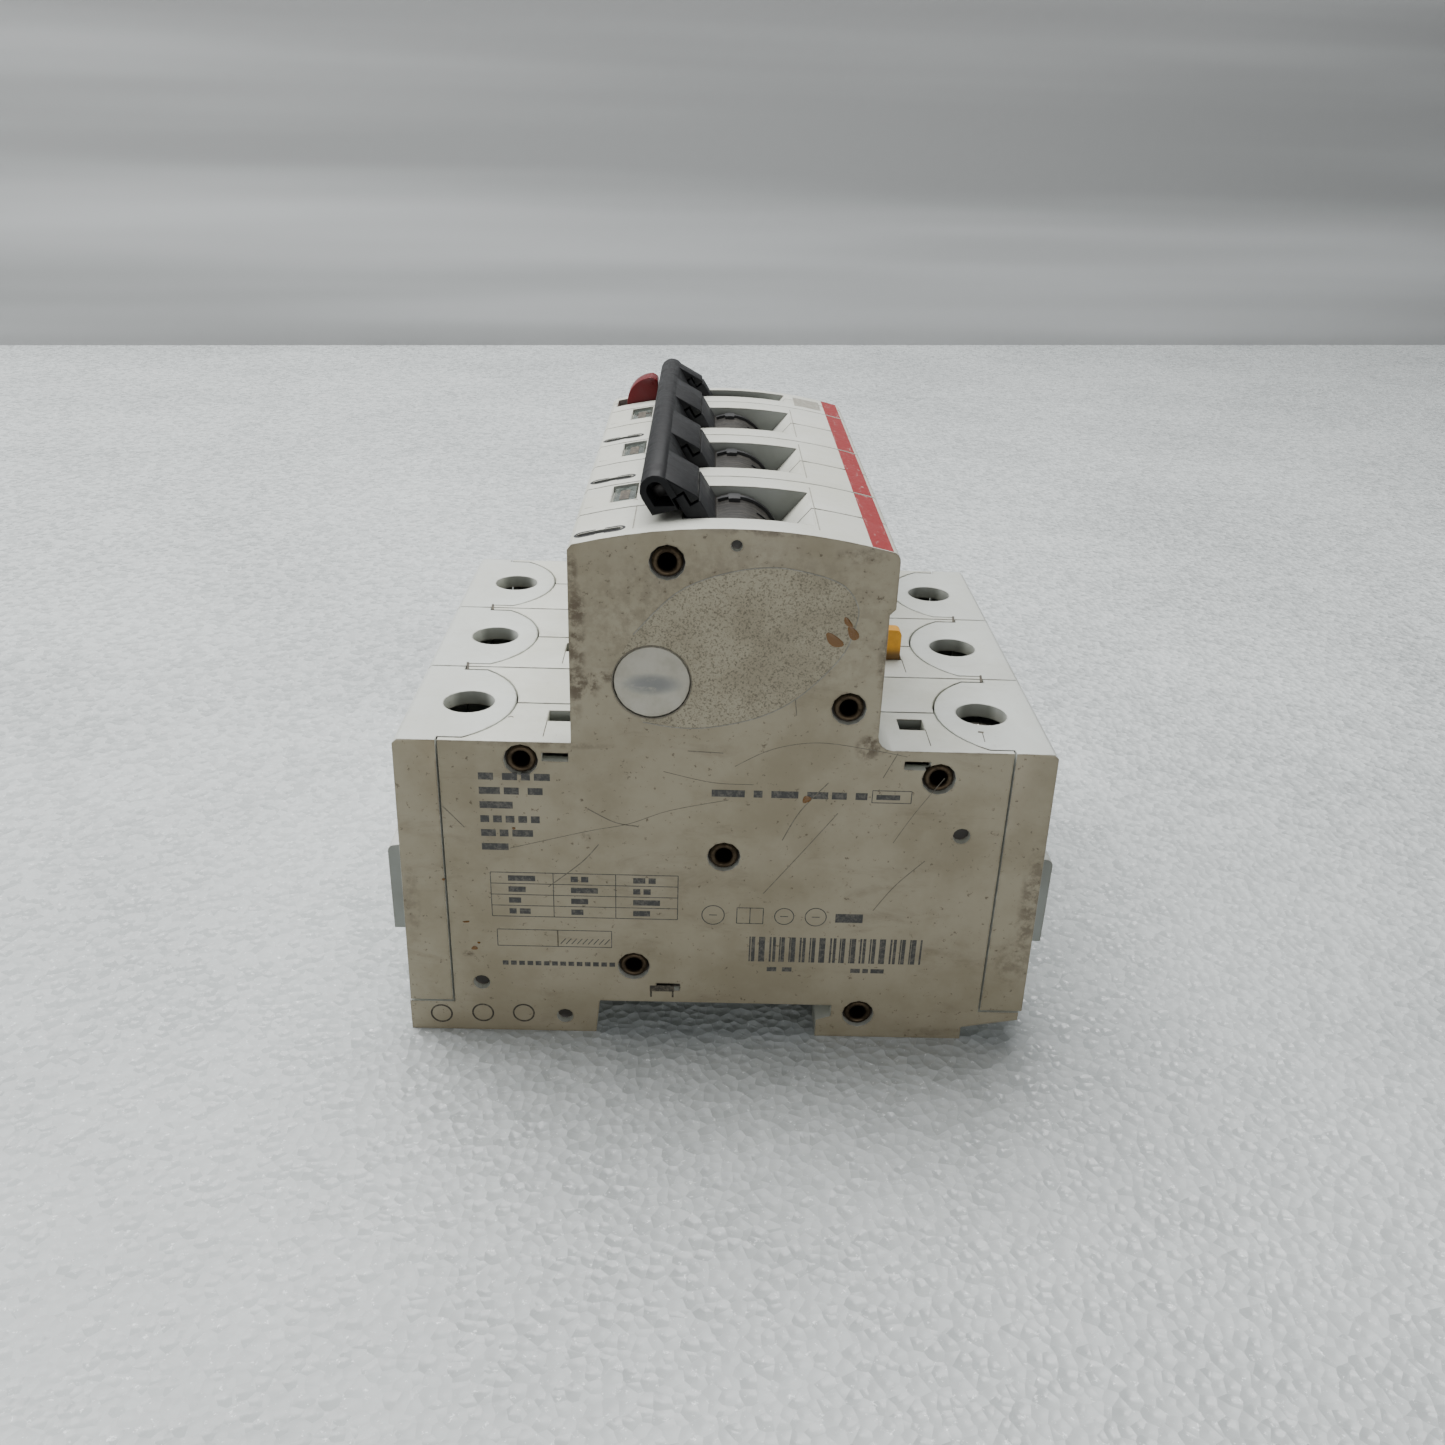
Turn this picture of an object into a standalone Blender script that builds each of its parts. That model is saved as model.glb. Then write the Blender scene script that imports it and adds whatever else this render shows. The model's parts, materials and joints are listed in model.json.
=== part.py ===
"""Three-pole rail-mounted circuit breaker with a narrow auxiliary module, as separate parts.

X runs from the line terminals (-X) to the load terminals (+X), Y along the row of poles and Z from
the mounting rail to the handle. The origin is under the middle of the row, on the plane of the feet.
The handle rests in its off position, leaning to -X. All sizes are in metres.
"""

import math

import bmesh
import bpy
from mathutils import Matrix, Vector

MM = 0.001
CLEARANCE = 0.3 * MM  # between neighbours that touch
OVERSHOOT = 1.0 * MM  # how far a cutter, or a buried end, runs past a face
SHY = 0.05 * MM  # how far a joined piece stops short of the face it would share

# The row
POLES = 3
POLE_PITCH = 26.5 * MM
AUX_WIDTH = 12.5 * MM
ROW_WIDTH = POLES * POLE_PITCH + AUX_WIDTH

# The side outline
HALF_LENGTH = 47.6 * MM  # middle to the outer face of a terminal cap
CAP_THICK = 6.3 * MM
SHOULDER_TOP = 51.2 * MM
BLOCK_HALF = 22.2 * MM
CORNER_TOP = 80.4 * MM  # where the block's sides meet its arched front
ARCH_RISE = 2.9 * MM
FILLET = 2.2 * MM
CORNER_RADIUS = 1.4 * MM  # of the front's right corner; the left one has a small chamfer
CORNER_CHAMFER = 0.6 * MM
SIDE_STEP = 0.8 * MM  # the block's right side is set in below SIDE_STEP_Z
SIDE_STEP_Z = 71.8 * MM
FOOT_TOP = 5.35 * MM
FOOT_PROUD = 0.6 * MM  # how far the left foot stands out past the cap above it
FOOT_DRAFT = 0.6 * MM
CEILING = 6.1 * MM  # the face that rests on the rail
LEFT_FOOT_X = -19.1 * MM
RIGHT_FOOT_X = 15.6 * MM
HOOK_DEPTH = 2.3 * MM
HOOK_LIP = 4.0 * MM
HOOK_SLOPE = 0.8 * MM
RIGHT_FOOT_LENGTH = 23.2 * MM
RIGHT_FOOT_STEP = 2.3 * MM
RIGHT_FOOT_RISE = 1.4 * MM  # from the foot's outer end to the cap's lower edge
WALL = 1.8 * MM
TOP_WALL = 1.9 * MM

# The toggle and its opening in the front
HUB_X = 0.3 * MM
HUB_DEPTH = 7.4 * MM  # below the middle of the arched front
HUB_RADIUS = 6.4 * MM
PIN_RADIUS = 1.5 * MM
OPENING_LEFT = -7.1 * MM
OPENING_RIGHT = 11.0 * MM
RAMP_DROP = 4.4 * MM
RAMP_WALL = 1.6 * MM
RAMP_FOOT = 6.0 * MM  # how far the sloped wall runs on below its slope
HUB_ROOM = 0.6 * MM  # between the hub and the sides of its pocket
POCKET_FLOOR = 1.5 * MM  # below the hub
POCKET_STEP = 2.0 * MM  # above the hub's axis, where the pocket widens to the opening
POCKET_STEP_HEIGHT = 1.0 * MM
OPENING_NEAR = 5.0 * MM  # from the pole's near face
OPENING_WIDTH = 16.2 * MM
POCKET_WALL = 1.2 * MM
OFF_LEAN = math.radians(32)
ARM_LEFT = -2.0 * MM
ARM_RIGHT = 0.8 * MM
BAR_LEFT = -5.7 * MM
BAR_RIGHT = -1.5 * MM
BAR_BOTTOM = 11.1 * MM  # along the arm, from the hub's axis
BAR_TOP = 17.2 * MM
BAR_ENDS = 4.8 * MM  # from the near face to the near end of the bar
BAR_END_FAR = 1.5 * MM
BAR_RECESS = 5.0 * MM
TONGUE = 1.9 * MM
TONGUE_THICK = 1.3 * MM
TONGUE_STEP = 0.9 * MM
TOGGLE_GAP = 0.4 * MM  # on both sides of a toggle in its opening
BAR_SLANT = 1.3 * MM
BAR_SHELL = 0.9 * MM
WEDGE_HEIGHT = 4.6 * MM  # of the bar's wedges over the arms
WEDGE_LIP = 0.4 * MM
END_SCREW_DROP = 3.1 * MM  # from the bar's round top
END_SCREW_HEAD = 0.95 * MM
END_SCREW_HEAD_HEIGHT = 1.4 * MM
END_SCREW_RADIUS = 0.5 * MM
END_SCREW_LENGTH = 3.5 * MM

# The terminals
TERMINAL_INSET = 8.85 * MM  # from the cap's outer face to the screw's axis
SCREW_HOLE_RADIUS = 3.85 * MM
PLATE_THICK = 2.2 * MM
PLATE_ARC = 14.7 * MM
PLATE_HALF_WIDTH = 11.9 * MM
PLATE_REACH = 7.0 * MM  # from the screw's axis to the round end
CAP_WALL = 1.5 * MM
CAP_DRAFT = 0.5 * MM
CAP_EDGE = 0.7 * MM
PORT_LOW = 16.6 * MM
PORT_HIGH = 28.2 * MM
PORT_HALF_WIDTH = 5.2 * MM
COLLAR = 3.1 * MM
COLLAR_RIM = 1.8 * MM
COLLAR_ROUND = 1.2 * MM
CAGE_HALF_LENGTH = 5.4 * MM
CAGE_HALF_WIDTH = 6.4 * MM
CAGE_LOW = 14.8 * MM
CAGE_HIGH = 35.2 * MM
CAGE_ROOF = 3.6 * MM
CAGE_WALL = 1.6 * MM
SCREW_HEAD_RADIUS = 3.4 * MM
SCREW_HEAD_HEIGHT = 2.6 * MM
SCREW_RADIUS = 2.0 * MM
SCREW_HEAD_TOP = 46.4 * MM
TIGHT_SCREW_RISE = 1.9 * MM  # the first load screw stands higher than the others
SCREW_LENGTH = 14.0 * MM
CROSS_SLOT_REACH = 2.45 * MM
CROSS_SLOT_HALF_WIDTH = 0.45 * MM
CROSS_SLOT_DEPTH = 1.2 * MM

# Rivets, as (x, z), through all three poles
RIVET_PLACES = tuple(
    (x * MM, z * MM)
    for x, z in (
        (-8.9, 78.4),
        (16.9, 57.6),
        (-29.4, 48.3),
        (30.7, 46.8),
        (0.1, 32.9),
        (-13.2, 12.8),
        (22.2, 4.5),
    )
)
RIVET_RADIUS = 1.55 * MM
RIVET_BORE = 1.2 * MM
RIVET_FLANGE = 2.15 * MM
RIVET_FLANGE_THICK = 0.6 * MM
COUNTERBORE_RADIUS = 2.5 * MM
COUNTERBORE_DEPTH = 1.1 * MM

# Details of the outside
PLUG_X = -10.8 * MM
PLUG_Z = 60.9 * MM
PLUG_RADIUS = 5.3 * MM
PLUG_RECESS = 1.0 * MM
WINDOW_X = -15.75 * MM
WINDOW_LENGTH = 8.6 * MM
WINDOW_WIDTH = 3.8 * MM
WINDOW_FROM_SEAM = 0.9 * MM
WINDOW_RIM = 0.7 * MM
LENS_THICK = 1.0 * MM
LENS_RECESS = 0.35 * MM
SLOT_X = -18.1 * MM
SLOT_LENGTH = 6.2 * MM
SLOT_WIDTH = 1.6 * MM
SLOT_Y = 3.5 * MM
SLOT_DEPTH = 1.4 * MM
CLIP_POCKET_INNER = {-1: 22.6 * MM, 1: 25.5 * MM}  # distance from the middle, by side
CLIP_POCKET_WIDTH = 3.8 * MM
CLIP_POCKET_NEAR = 7.2 * MM  # from the pole's near face
CLIP_POCKET_LENGTH = 3.6 * MM
CLIP_POCKET_DEPTH = 3.0 * MM
CLIP_WINDOW_HEIGHT = 1.35 * MM
TAB_POLE = 2  # the pole whose load shoulder holds the tab
TAB_THICK = 2.4 * MM
TAB_RISE = 6.8 * MM  # above the shoulder
TAB_CHAMFER = 0.9 * MM
FOOT_WINDOW_X = -9.7 * MM
FOOT_WINDOW_Z = 8.3 * MM
FOOT_WINDOW_LENGTH = 3.7 * MM
PLAIN_HOLES = tuple((x * MM, z * MM) for x, z in ((35.0, 37.4), (-36.8, 9.2), (-24.0, 3.0)))
PLAIN_HOLE_RADIUS = 1.3 * MM
BLIND_DEPTH = 1.2 * MM
PIN_HOLE = (0.3 * MM, 81.0 * MM)
PIN_HOLE_RADIUS = 0.8 * MM
PLUG_SUNK = 0.1 * MM

# Inside
LATCH_WIDTH = 10.0 * MM
LATCH_THICK = 3.8 * MM
LATCH_TONGUE = 2.2 * MM
LATCH_NOSE = 1.2 * MM
LATCH_TAB = 1.0 * MM  # how far the latch stands out of the end
LATCH_SLOT_LENGTH = 2.0 * MM
LATCH_SLOT_WALL = 3.0 * MM
FLAG_PIVOT_Z = 69.5 * MM
FLAG_TOP = 79.0 * MM
FLAG_WIDTH = 5.5 * MM
FLAG_LEAN = 8  # degrees, off position
FLAG_HALF_ANGLE = 10
FLAG_BOSS = 1.6 * MM
CONTACT_PIVOT_X = 6.0 * MM
CONTACT_PIVOT_Z = 50.0 * MM
CONTACT_REACH = 17.5 * MM
CONTACT_DROP = 9.8 * MM
CONTACT_TIP = 3.5 * MM
CONTACT_BOSS = 2.6 * MM
CONTACT_PIN = 1.2 * MM
CONTACT_HALF_WIDTH = 2.4 * MM
CHUTE_LEFT = -31.0 * MM
CHUTE_RIGHT = -17.0 * MM
CHUTE_LOW = 14.5 * MM
CHUTE_PLATES = 8
CHUTE_PITCH = 2.3 * MM
CHUTE_PLATE = 1.0 * MM
CHUTE_BACK = 1.0 * MM
CHUTE_SIDE_ROOM = 1.5 * MM
COIL_CENTRE_Z = 22.0 * MM
COIL_LEFT = 5.0 * MM
COIL_LENGTH = 19.0 * MM
COIL_RADIUS = 7.2 * MM
COIL_TURNS = 4
COIL_FLANGE = 1.6 * MM
COIL_VALLEY = 1.9 * MM  # below the flanges
COIL_CREST = 1.0 * MM

# The auxiliary module
AUX_SHOULDER = 44.5 * MM
AUX_HALF = 33.0 * MM
AUX_WALL = 1.4 * MM
AUX_OPENING_NEAR = 4.6 * MM
AUX_OPENING_WIDTH = 5.8 * MM
LEVER_X = -16.2 * MM
LEVER_PIVOT_Z = 76.5 * MM
LEVER_RADIUS = 2.9 * MM
LEVER_TOP = 86.3 * MM
LEVER_FOOT_RADIUS = 2.2 * MM
LEVER_SLOT_LEFT = 1.9 * MM  # room beside the lever's head
LEVER_SLOT_RIGHT = 0.5 * MM
LEVER_SLOT_DEPTH = 3.0 * MM  # below the block's corners

ROUND = 20  # sides of a large round piece
SMALL_ROUND = 12  # sides of a small one
DISC_ROUND = 28  # sides of the plug and its recess
HOLE_ROUND = 24  # sides of a screw's access hole

ARCH_TOP = CORNER_TOP + ARCH_RISE
ARCH_RADIUS = (BLOCK_HALF**2 + ARCH_RISE**2) / (2 * ARCH_RISE)
HUB_Z = ARCH_TOP - HUB_DEPTH
SEAM_X = HALF_LENGTH - CAP_THICK
TERMINAL_X = HALF_LENGTH - TERMINAL_INSET
NEAR = -ROW_WIDTH / 2
AUX_NEAR = NEAR + POLES * POLE_PITCH


def material(name, colour, roughness, metallic=0.0):
    made = bpy.data.materials.new(name)
    made.use_nodes = True
    shader = made.node_tree.nodes["Principled BSDF"]
    shader.inputs["Base Color"].default_value = (*colour, 1.0)
    shader.inputs["Roughness"].default_value = roughness
    shader.inputs["Metallic"].default_value = metallic
    return made


def new_collection(name):
    made = bpy.data.collections.new(name)
    bpy.context.scene.collection.children.link(made)
    return made


for leftover in list(bpy.data.objects):
    bpy.data.objects.remove(leftover, do_unlink=True)
PARTS = new_collection("circuit_breaker")
CUTTERS = new_collection("cutters")

HOUSING = material("housing_plastic", (0.68, 0.70, 0.66), 0.55)
CAP = material("cap_plastic", (0.62, 0.64, 0.61), 0.55)
HANDLE = material("handle_plastic", (0.055, 0.06, 0.068), 0.5)
HUB = material("hub_plastic", (0.10, 0.10, 0.10), 0.5)
LENS = material("window_lens", (0.33, 0.40, 0.37), 0.2)
FLAG = material("flag_plastic", (0.10, 0.42, 0.16), 0.5)
BRONZE = material("rivet_bronze", (0.16, 0.11, 0.08), 0.4, 1.0)
STEEL = material("plated_steel", (0.60, 0.60, 0.58), 0.35, 1.0)
COPPER = material("contact_copper", (0.72, 0.40, 0.25), 0.35, 1.0)
COIL = material("coil_bobbin", (0.35, 0.12, 0.05), 0.45)
PLUG = material("plug_plastic", (0.66, 0.65, 0.61), 0.5)
RED = material("lever_plastic", (0.22, 0.012, 0.018), 0.4)
YELLOW = material("clip_plastic", (0.80, 0.45, 0.03), 0.5)
LATCH = material("latch_plastic", (0.45, 0.46, 0.44), 0.6)


# Shapes


def add(name, mesh, kind):
    """A new object: a part when kind is a material, a hidden cutter when it is None."""
    made = bpy.data.objects.new(name, mesh)
    if kind is None:
        CUTTERS.objects.link(made)
        made.hide_render = True
        made.display_type = "WIRE"
        return made
    PARTS.objects.link(made)
    mesh.materials.clear()
    mesh.materials.append(kind)
    return made


def box(name, x, y, z, kind=None):
    """A box between pairs of x, y and z."""
    low = Vector((min(x), min(y), min(z)))
    high = Vector((max(x), max(y), max(z)))
    mesh = bpy.data.meshes.new(name)
    form = bmesh.new()
    size = Matrix.Diagonal((*(high - low), 1.0))
    bmesh.ops.create_cube(form, size=1.0, matrix=Matrix.Translation((low + high) / 2) @ size)
    form.to_mesh(mesh)
    form.free()
    return add(name, mesh, kind)


TURNS = {
    "X": Matrix.Rotation(math.pi / 2, 4, "Y"),
    "Y": Matrix.Rotation(-math.pi / 2, 4, "X"),
    "Z": Matrix.Identity(4),
}


def rod(name, axis, centre, radius, span, kind=None, sides=SMALL_ROUND):
    """A cylinder along an axis letter. centre is its two other coordinates, span its two ends."""
    middle = (span[0] + span[1]) / 2
    place = {
        "X": Vector((middle, *centre)),
        "Y": Vector((centre[0], middle, centre[1])),
        "Z": Vector((*centre, middle)),
    }[axis]
    mesh = bpy.data.meshes.new(name)
    form = bmesh.new()
    bmesh.ops.create_cone(
        form,
        cap_ends=True,
        segments=sides,
        radius1=radius,
        radius2=radius,
        depth=abs(span[1] - span[0]),
        matrix=Matrix.Translation(place) @ TURNS[axis],
    )
    form.to_mesh(mesh)
    form.free()
    made = add(name, mesh, kind)
    mesh.shade_smooth()
    mesh.set_sharp_from_angle(angle=math.radians(40))
    return made


def outline_solid(name, outline, span, upright, kind=None):
    """A flat outline given a thickness: upright, in X and Z with its span in Y, or else in X and Y."""
    flat = bpy.data.curves.new(name, "CURVE")
    flat.dimensions = "2D"
    flat.fill_mode = "BOTH"
    flat.extrude = abs(span[1] - span[0]) / 2
    line = flat.splines.new("POLY")
    line.points.add(len(outline) - 1)
    for point, (across, along) in zip(line.points, outline):
        point.co = (across, along, 0.0, 1.0)
    line.use_cyclic_u = True
    drawn = bpy.data.objects.new(name, flat)
    CUTTERS.objects.link(drawn)
    graph = bpy.context.evaluated_depsgraph_get()
    mesh = bpy.data.meshes.new_from_object(drawn.evaluated_get(graph))
    bpy.data.objects.remove(drawn)
    bpy.data.curves.remove(flat)
    mesh.name = name
    middle = (span[0] + span[1]) / 2
    if upright:
        place = Matrix.Translation((0, middle, 0)) @ Matrix.Rotation(math.pi / 2, 4, "X")
    else:
        place = Matrix.Translation((0, 0, middle))
    mesh.transform(place)
    form = bmesh.new()
    form.from_mesh(mesh)
    bmesh.ops.remove_doubles(form, verts=form.verts, dist=1e-6)
    bmesh.ops.recalc_face_normals(form, faces=form.faces)
    form.to_mesh(mesh)
    form.free()
    return add(name, mesh, kind)


def turned(name, profile, sides, axis, place, kind=None):
    """A solid of revolution. profile is (radius, height) down the outer side, axis a letter."""
    mesh = bpy.data.meshes.new(name)
    form = bmesh.new()
    points = [form.verts.new((radius, 0.0, height)) for radius, height in profile]
    for first, second in zip(points, points[1:]):
        form.edges.new((first, second))
    form.to_mesh(mesh)
    form.free()
    made = add(name, mesh, kind)
    made.matrix_world = Matrix.Translation(place) @ TURNS[axis]
    screw = made.modifiers.new("turn", "SCREW")
    screw.steps = sides
    screw.render_steps = sides
    screw.use_merge_vertices = True
    screw.merge_threshold = 1e-6
    screw.use_smooth_shade = False
    return made


def cut(solid, *cutters):
    for cutter in cutters:
        boolean = solid.modifiers.new("cut " + cutter.name, "BOOLEAN")
        boolean.operation = "DIFFERENCE"
        boolean.object = cutter
    return solid


def join(solid, *pieces):
    for piece in pieces:
        boolean = solid.modifiers.new("join " + piece.name, "BOOLEAN")
        boolean.operation = "UNION"
        boolean.object = piece
    return solid


def pivot_at(solid, point):
    """Moves the object's origin to its joint's axis, and leaves the shape where it is."""
    place = Vector(point)
    solid.data.transform(Matrix.Translation(-place))
    solid.location = place
    return solid


def arc(centre, radius, start, end, steps):
    """Points on an arc, from one angle to another in degrees."""
    points = []
    for step in range(steps + 1):
        angle = math.radians(start + (end - start) * step / steps)
        points.append((centre[0] + radius * math.cos(angle), centre[1] + radius * math.sin(angle)))
    return points


def front_height(x):
    """Height of the arched front over x."""
    return ARCH_TOP - ARCH_RADIUS + math.sqrt(ARCH_RADIUS**2 - x**2)


def front_line(left, right, drop, steps=10):
    """Points along the arched front, lowered by drop."""
    points = []
    for step in range(steps + 1):
        x = left + (right - left) * step / steps
        points.append((x, front_height(x) - drop))
    return points


def handle_point(across, along):
    """A point of the handle in its rest position, from its place beside and along the arm."""
    x = HUB_X - along * math.sin(OFF_LEAN) + across * math.cos(OFF_LEAN)
    z = HUB_Z + along * math.cos(OFF_LEAN) + across * math.sin(OFF_LEAN)
    return (x, z)


# The poles' housings


def feet_outline():
    """The underside, from the left end of the left foot to the right end of the right foot."""
    hook_x = RIGHT_FOOT_X + HOOK_DEPTH
    foot_end = RIGHT_FOOT_X + RIGHT_FOOT_LENGTH
    return [
        (-HALF_LENGTH - FOOT_PROUD, FOOT_TOP),
        (-HALF_LENGTH - FOOT_PROUD, 0.0),
        (LEFT_FOOT_X, 0.0),
        (LEFT_FOOT_X + FOOT_DRAFT, CEILING),
        (hook_x, CEILING),
        (hook_x, HOOK_LIP),
        (RIGHT_FOOT_X, HOOK_LIP - HOOK_SLOPE),
        (RIGHT_FOOT_X, 0.0),
        (foot_end, 0.0),
        (foot_end, RIGHT_FOOT_STEP),
        (HALF_LENGTH, FOOT_TOP - RIGHT_FOOT_RISE),
        (HALF_LENGTH, FOOT_TOP),
    ]


def block_outline(shoulder, side):
    """The upper block, from the right shoulder over the arched front to the left one."""
    lower_side = BLOCK_HALF - SIDE_STEP
    fillet_centre = (lower_side + FILLET, shoulder + FILLET)
    corner = BLOCK_HALF - CORNER_RADIUS
    corner_centre = (corner, front_height(corner) - CORNER_RADIUS)
    return [
        (side, shoulder),
        *arc(fillet_centre, FILLET, 270, 180, 4),
        (lower_side, SIDE_STEP_Z),
        (BLOCK_HALF, SIDE_STEP_Z + SIDE_STEP),
        *arc(corner_centre, CORNER_RADIUS, 0, 60, 3),
        *front_line(corner, CORNER_CHAMFER - BLOCK_HALF, 0.0, 12),
        (-BLOCK_HALF, CORNER_TOP - CORNER_CHAMFER),
        (-BLOCK_HALF, shoulder),
        (-side, shoulder),
    ]


def pole_outline():
    side = SEAM_X - CLEARANCE / 2
    return feet_outline() + [(side, FOOT_TOP)] + block_outline(SHOULDER_TOP, side) + [(-side, FOOT_TOP)]


def cavity_outline():
    """The hollow of a pole: the terminal floor at both ends and the mechanism's room under the front."""
    end = SEAM_X + OVERSHOOT
    roof = SHOULDER_TOP - WALL
    inner = BLOCK_HALF - WALL
    return [
        (-end, CEILING + WALL),
        (end, CEILING + WALL),
        (end, roof),
        (inner, roof),
        *front_line(inner, -inner, TOP_WALL, 8),
        (-inner, roof),
        (-end, roof),
    ]


def plate_outline(side, grown):
    """The round-ended plate in the shoulder, on the side +1 or -1, with its edge moved out by grown."""
    round_end = TERMINAL_X - PLATE_REACH
    centre = round_end + PLATE_ARC
    radius = PLATE_ARC + grown
    half = PLATE_HALF_WIDTH + grown
    swing = math.degrees(math.asin(half / radius))
    curve = arc((centre, 0.0), radius, 180 - swing, 180 + swing, 14)
    outline = [(SEAM_X + OVERSHOOT, half), *curve, (SEAM_X + OVERSHOOT, -half)]
    return [(side * x, y) for x, y in outline]


def shift_y(outline, distance):
    return [(x, y + distance) for x, y in outline]


def opening_outline():
    """The toggle's opening: a slope at the right, and room round the hub."""
    top = front_height(OPENING_RIGHT)
    room = HUB_RADIUS + HUB_ROOM
    floor = HUB_Z - HUB_RADIUS - POCKET_FLOOR
    return [
        (OPENING_LEFT, ARCH_TOP + OVERSHOOT),
        (OPENING_LEFT, HUB_Z + POCKET_STEP),
        (HUB_X - room, HUB_Z + POCKET_STEP - POCKET_STEP_HEIGHT),
        (HUB_X - room, floor),
        (HUB_X + room, floor),
        (HUB_X + room, top - RAMP_DROP),
        (OPENING_RIGHT, top),
        (OPENING_RIGHT + OVERSHOOT, ARCH_TOP + OVERSHOOT),
    ]


def pocket_wall_outline():
    """The wall beside the toggle, from above the front down past the hub."""
    left = OPENING_LEFT - OVERSHOOT
    right = OPENING_RIGHT + 2 * OVERSHOOT
    low = HUB_Z - HUB_RADIUS - OVERSHOOT
    return [
        (left, low),
        (right, low),
        *front_line(right, left, TOP_WALL / 2, 4),
    ]


def ramp_outline():
    """The sloped wall that the arm lies against when the breaker is on."""
    top = front_height(OPENING_RIGHT)
    foot = HUB_X + HUB_RADIUS + HUB_ROOM
    buried = top - TOP_WALL / 3
    low = top - RAMP_DROP - RAMP_FOOT
    return [
        (foot - OVERSHOOT, buried),
        (foot - OVERSHOOT, low),
        (foot + RAMP_WALL, low),
        (foot + RAMP_WALL, top - RAMP_DROP - RAMP_WALL),
        (OPENING_RIGHT + RAMP_WALL, buried),
    ]


def pole_shell(number, half):
    """One half of a pole's housing. half is 0 for the base on the near side, 1 for the cover."""
    pole_near = NEAR + number * POLE_PITCH
    middle = pole_near + POLE_PITCH / 2
    outside = -1 if half == 0 else 1
    outer_face = middle + outside * (POLE_PITCH / 2 - CLEARANCE / 2)
    parting = middle + outside * CLEARANCE / 2
    inner_face = outer_face - outside * WALL
    past = parting - outside * OVERSHOOT
    name = f"pole_{number + 1}_" + ("base_shell" if half == 0 else "cover_shell")

    def mark(text):
        return f"{name} {text}"

    shell = outline_solid(name, pole_outline(), (outer_face, parting), True, HOUSING)
    cut(shell, outline_solid(mark("cavity"), cavity_outline(), (inner_face, past), True))

    wall_face = pole_near + OPENING_NEAR
    if half == 1:
        wall_face += OPENING_WIDTH
    wall_back = wall_face + outside * POCKET_WALL
    wall_span = (wall_face - outside * CLEARANCE, wall_back)
    join(shell, outline_solid(mark("pocket wall"), pocket_wall_outline(), wall_span, True))
    ramp_span = (wall_face + outside * POCKET_WALL / 2, parting + outside * SHY)
    join(shell, outline_solid(mark("ramp"), ramp_outline(), ramp_span, True))
    cut(shell, outline_solid(mark("opening"), opening_outline(), (wall_face, past), True))
    pin_seat = wall_back + outside * OVERSHOOT
    pin_room = PIN_RADIUS + CLEARANCE
    pin_span = (wall_face - outside * OVERSHOOT, pin_seat)
    cut(shell, rod(mark("pin seat"), "Y", (HUB_X, HUB_Z), pin_room, pin_span))

    for side in (-1, 1):
        recess = shift_y(plate_outline(side, CLEARANCE), middle)
        depth = (SHOULDER_TOP - PLATE_THICK - CLEARANCE, SHOULDER_TOP + OVERSHOOT)
        cut(shell, outline_solid(mark(f"plate recess {side}"), recess, depth, False))

    for index, (x, z) in enumerate(RIVET_PLACES):
        hole = (outer_face + outside * OVERSHOOT, past)
        cut(shell, rod(mark(f"rivet hole {index}"), "Y", (x, z), RIVET_RADIUS + CLEARANCE, hole))

    latch_channel(shell, mark, middle)
    if half == 0:
        clip_pockets(shell, mark, pole_near)
        near_details(shell, mark, pole_near, outer_face, number)
    else:
        window_cuts(shell, mark, pole_near)
        if number == POLES - 1:
            rivet_counterbores(shell, mark, outer_face, outside)
    return shell


def latch_channel(shell, mark, middle):
    """The groove in the left foot that the rail latch slides in, open below and at both ends."""
    half = LATCH_WIDTH / 2 + CLEARANCE
    ends = (-HALF_LENGTH - 2 * MM, LEFT_FOOT_X + 2 * MM)
    heights = (-OVERSHOOT, LATCH_THICK + 2 * CLEARANCE)
    cut(shell, box(mark("latch channel"), ends, (middle - half, middle + half), heights))


def pocket_across(side):
    """The two X values of a clip pocket, on the side +1 or -1."""
    inner = CLIP_POCKET_INNER[side]
    return (side * inner, side * (inner + CLIP_POCKET_WIDTH))


def clip_pockets(shell, mark, pole_near):
    """The pockets in both shoulders, in the pole's near half."""
    near = pole_near + CLIP_POCKET_NEAR
    depth = (SHOULDER_TOP - CLIP_POCKET_DEPTH, SHOULDER_TOP + OVERSHOOT)
    for side in CLIP_POCKET_INNER:
        pocket = (near, near + CLIP_POCKET_LENGTH)
        cut(shell, box(mark(f"clip pocket {side}"), pocket_across(side), pocket, depth))


def rivet_counterbores(shell, mark, outer_face, outside):
    for index, (x, z) in enumerate(RIVET_PLACES):
        depth = (outer_face + outside * OVERSHOOT, outer_face - outside * COUNTERBORE_DEPTH)
        cut(shell, rod(mark(f"counterbore {index}"), "Y", (x, z), COUNTERBORE_RADIUS, depth))


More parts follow.
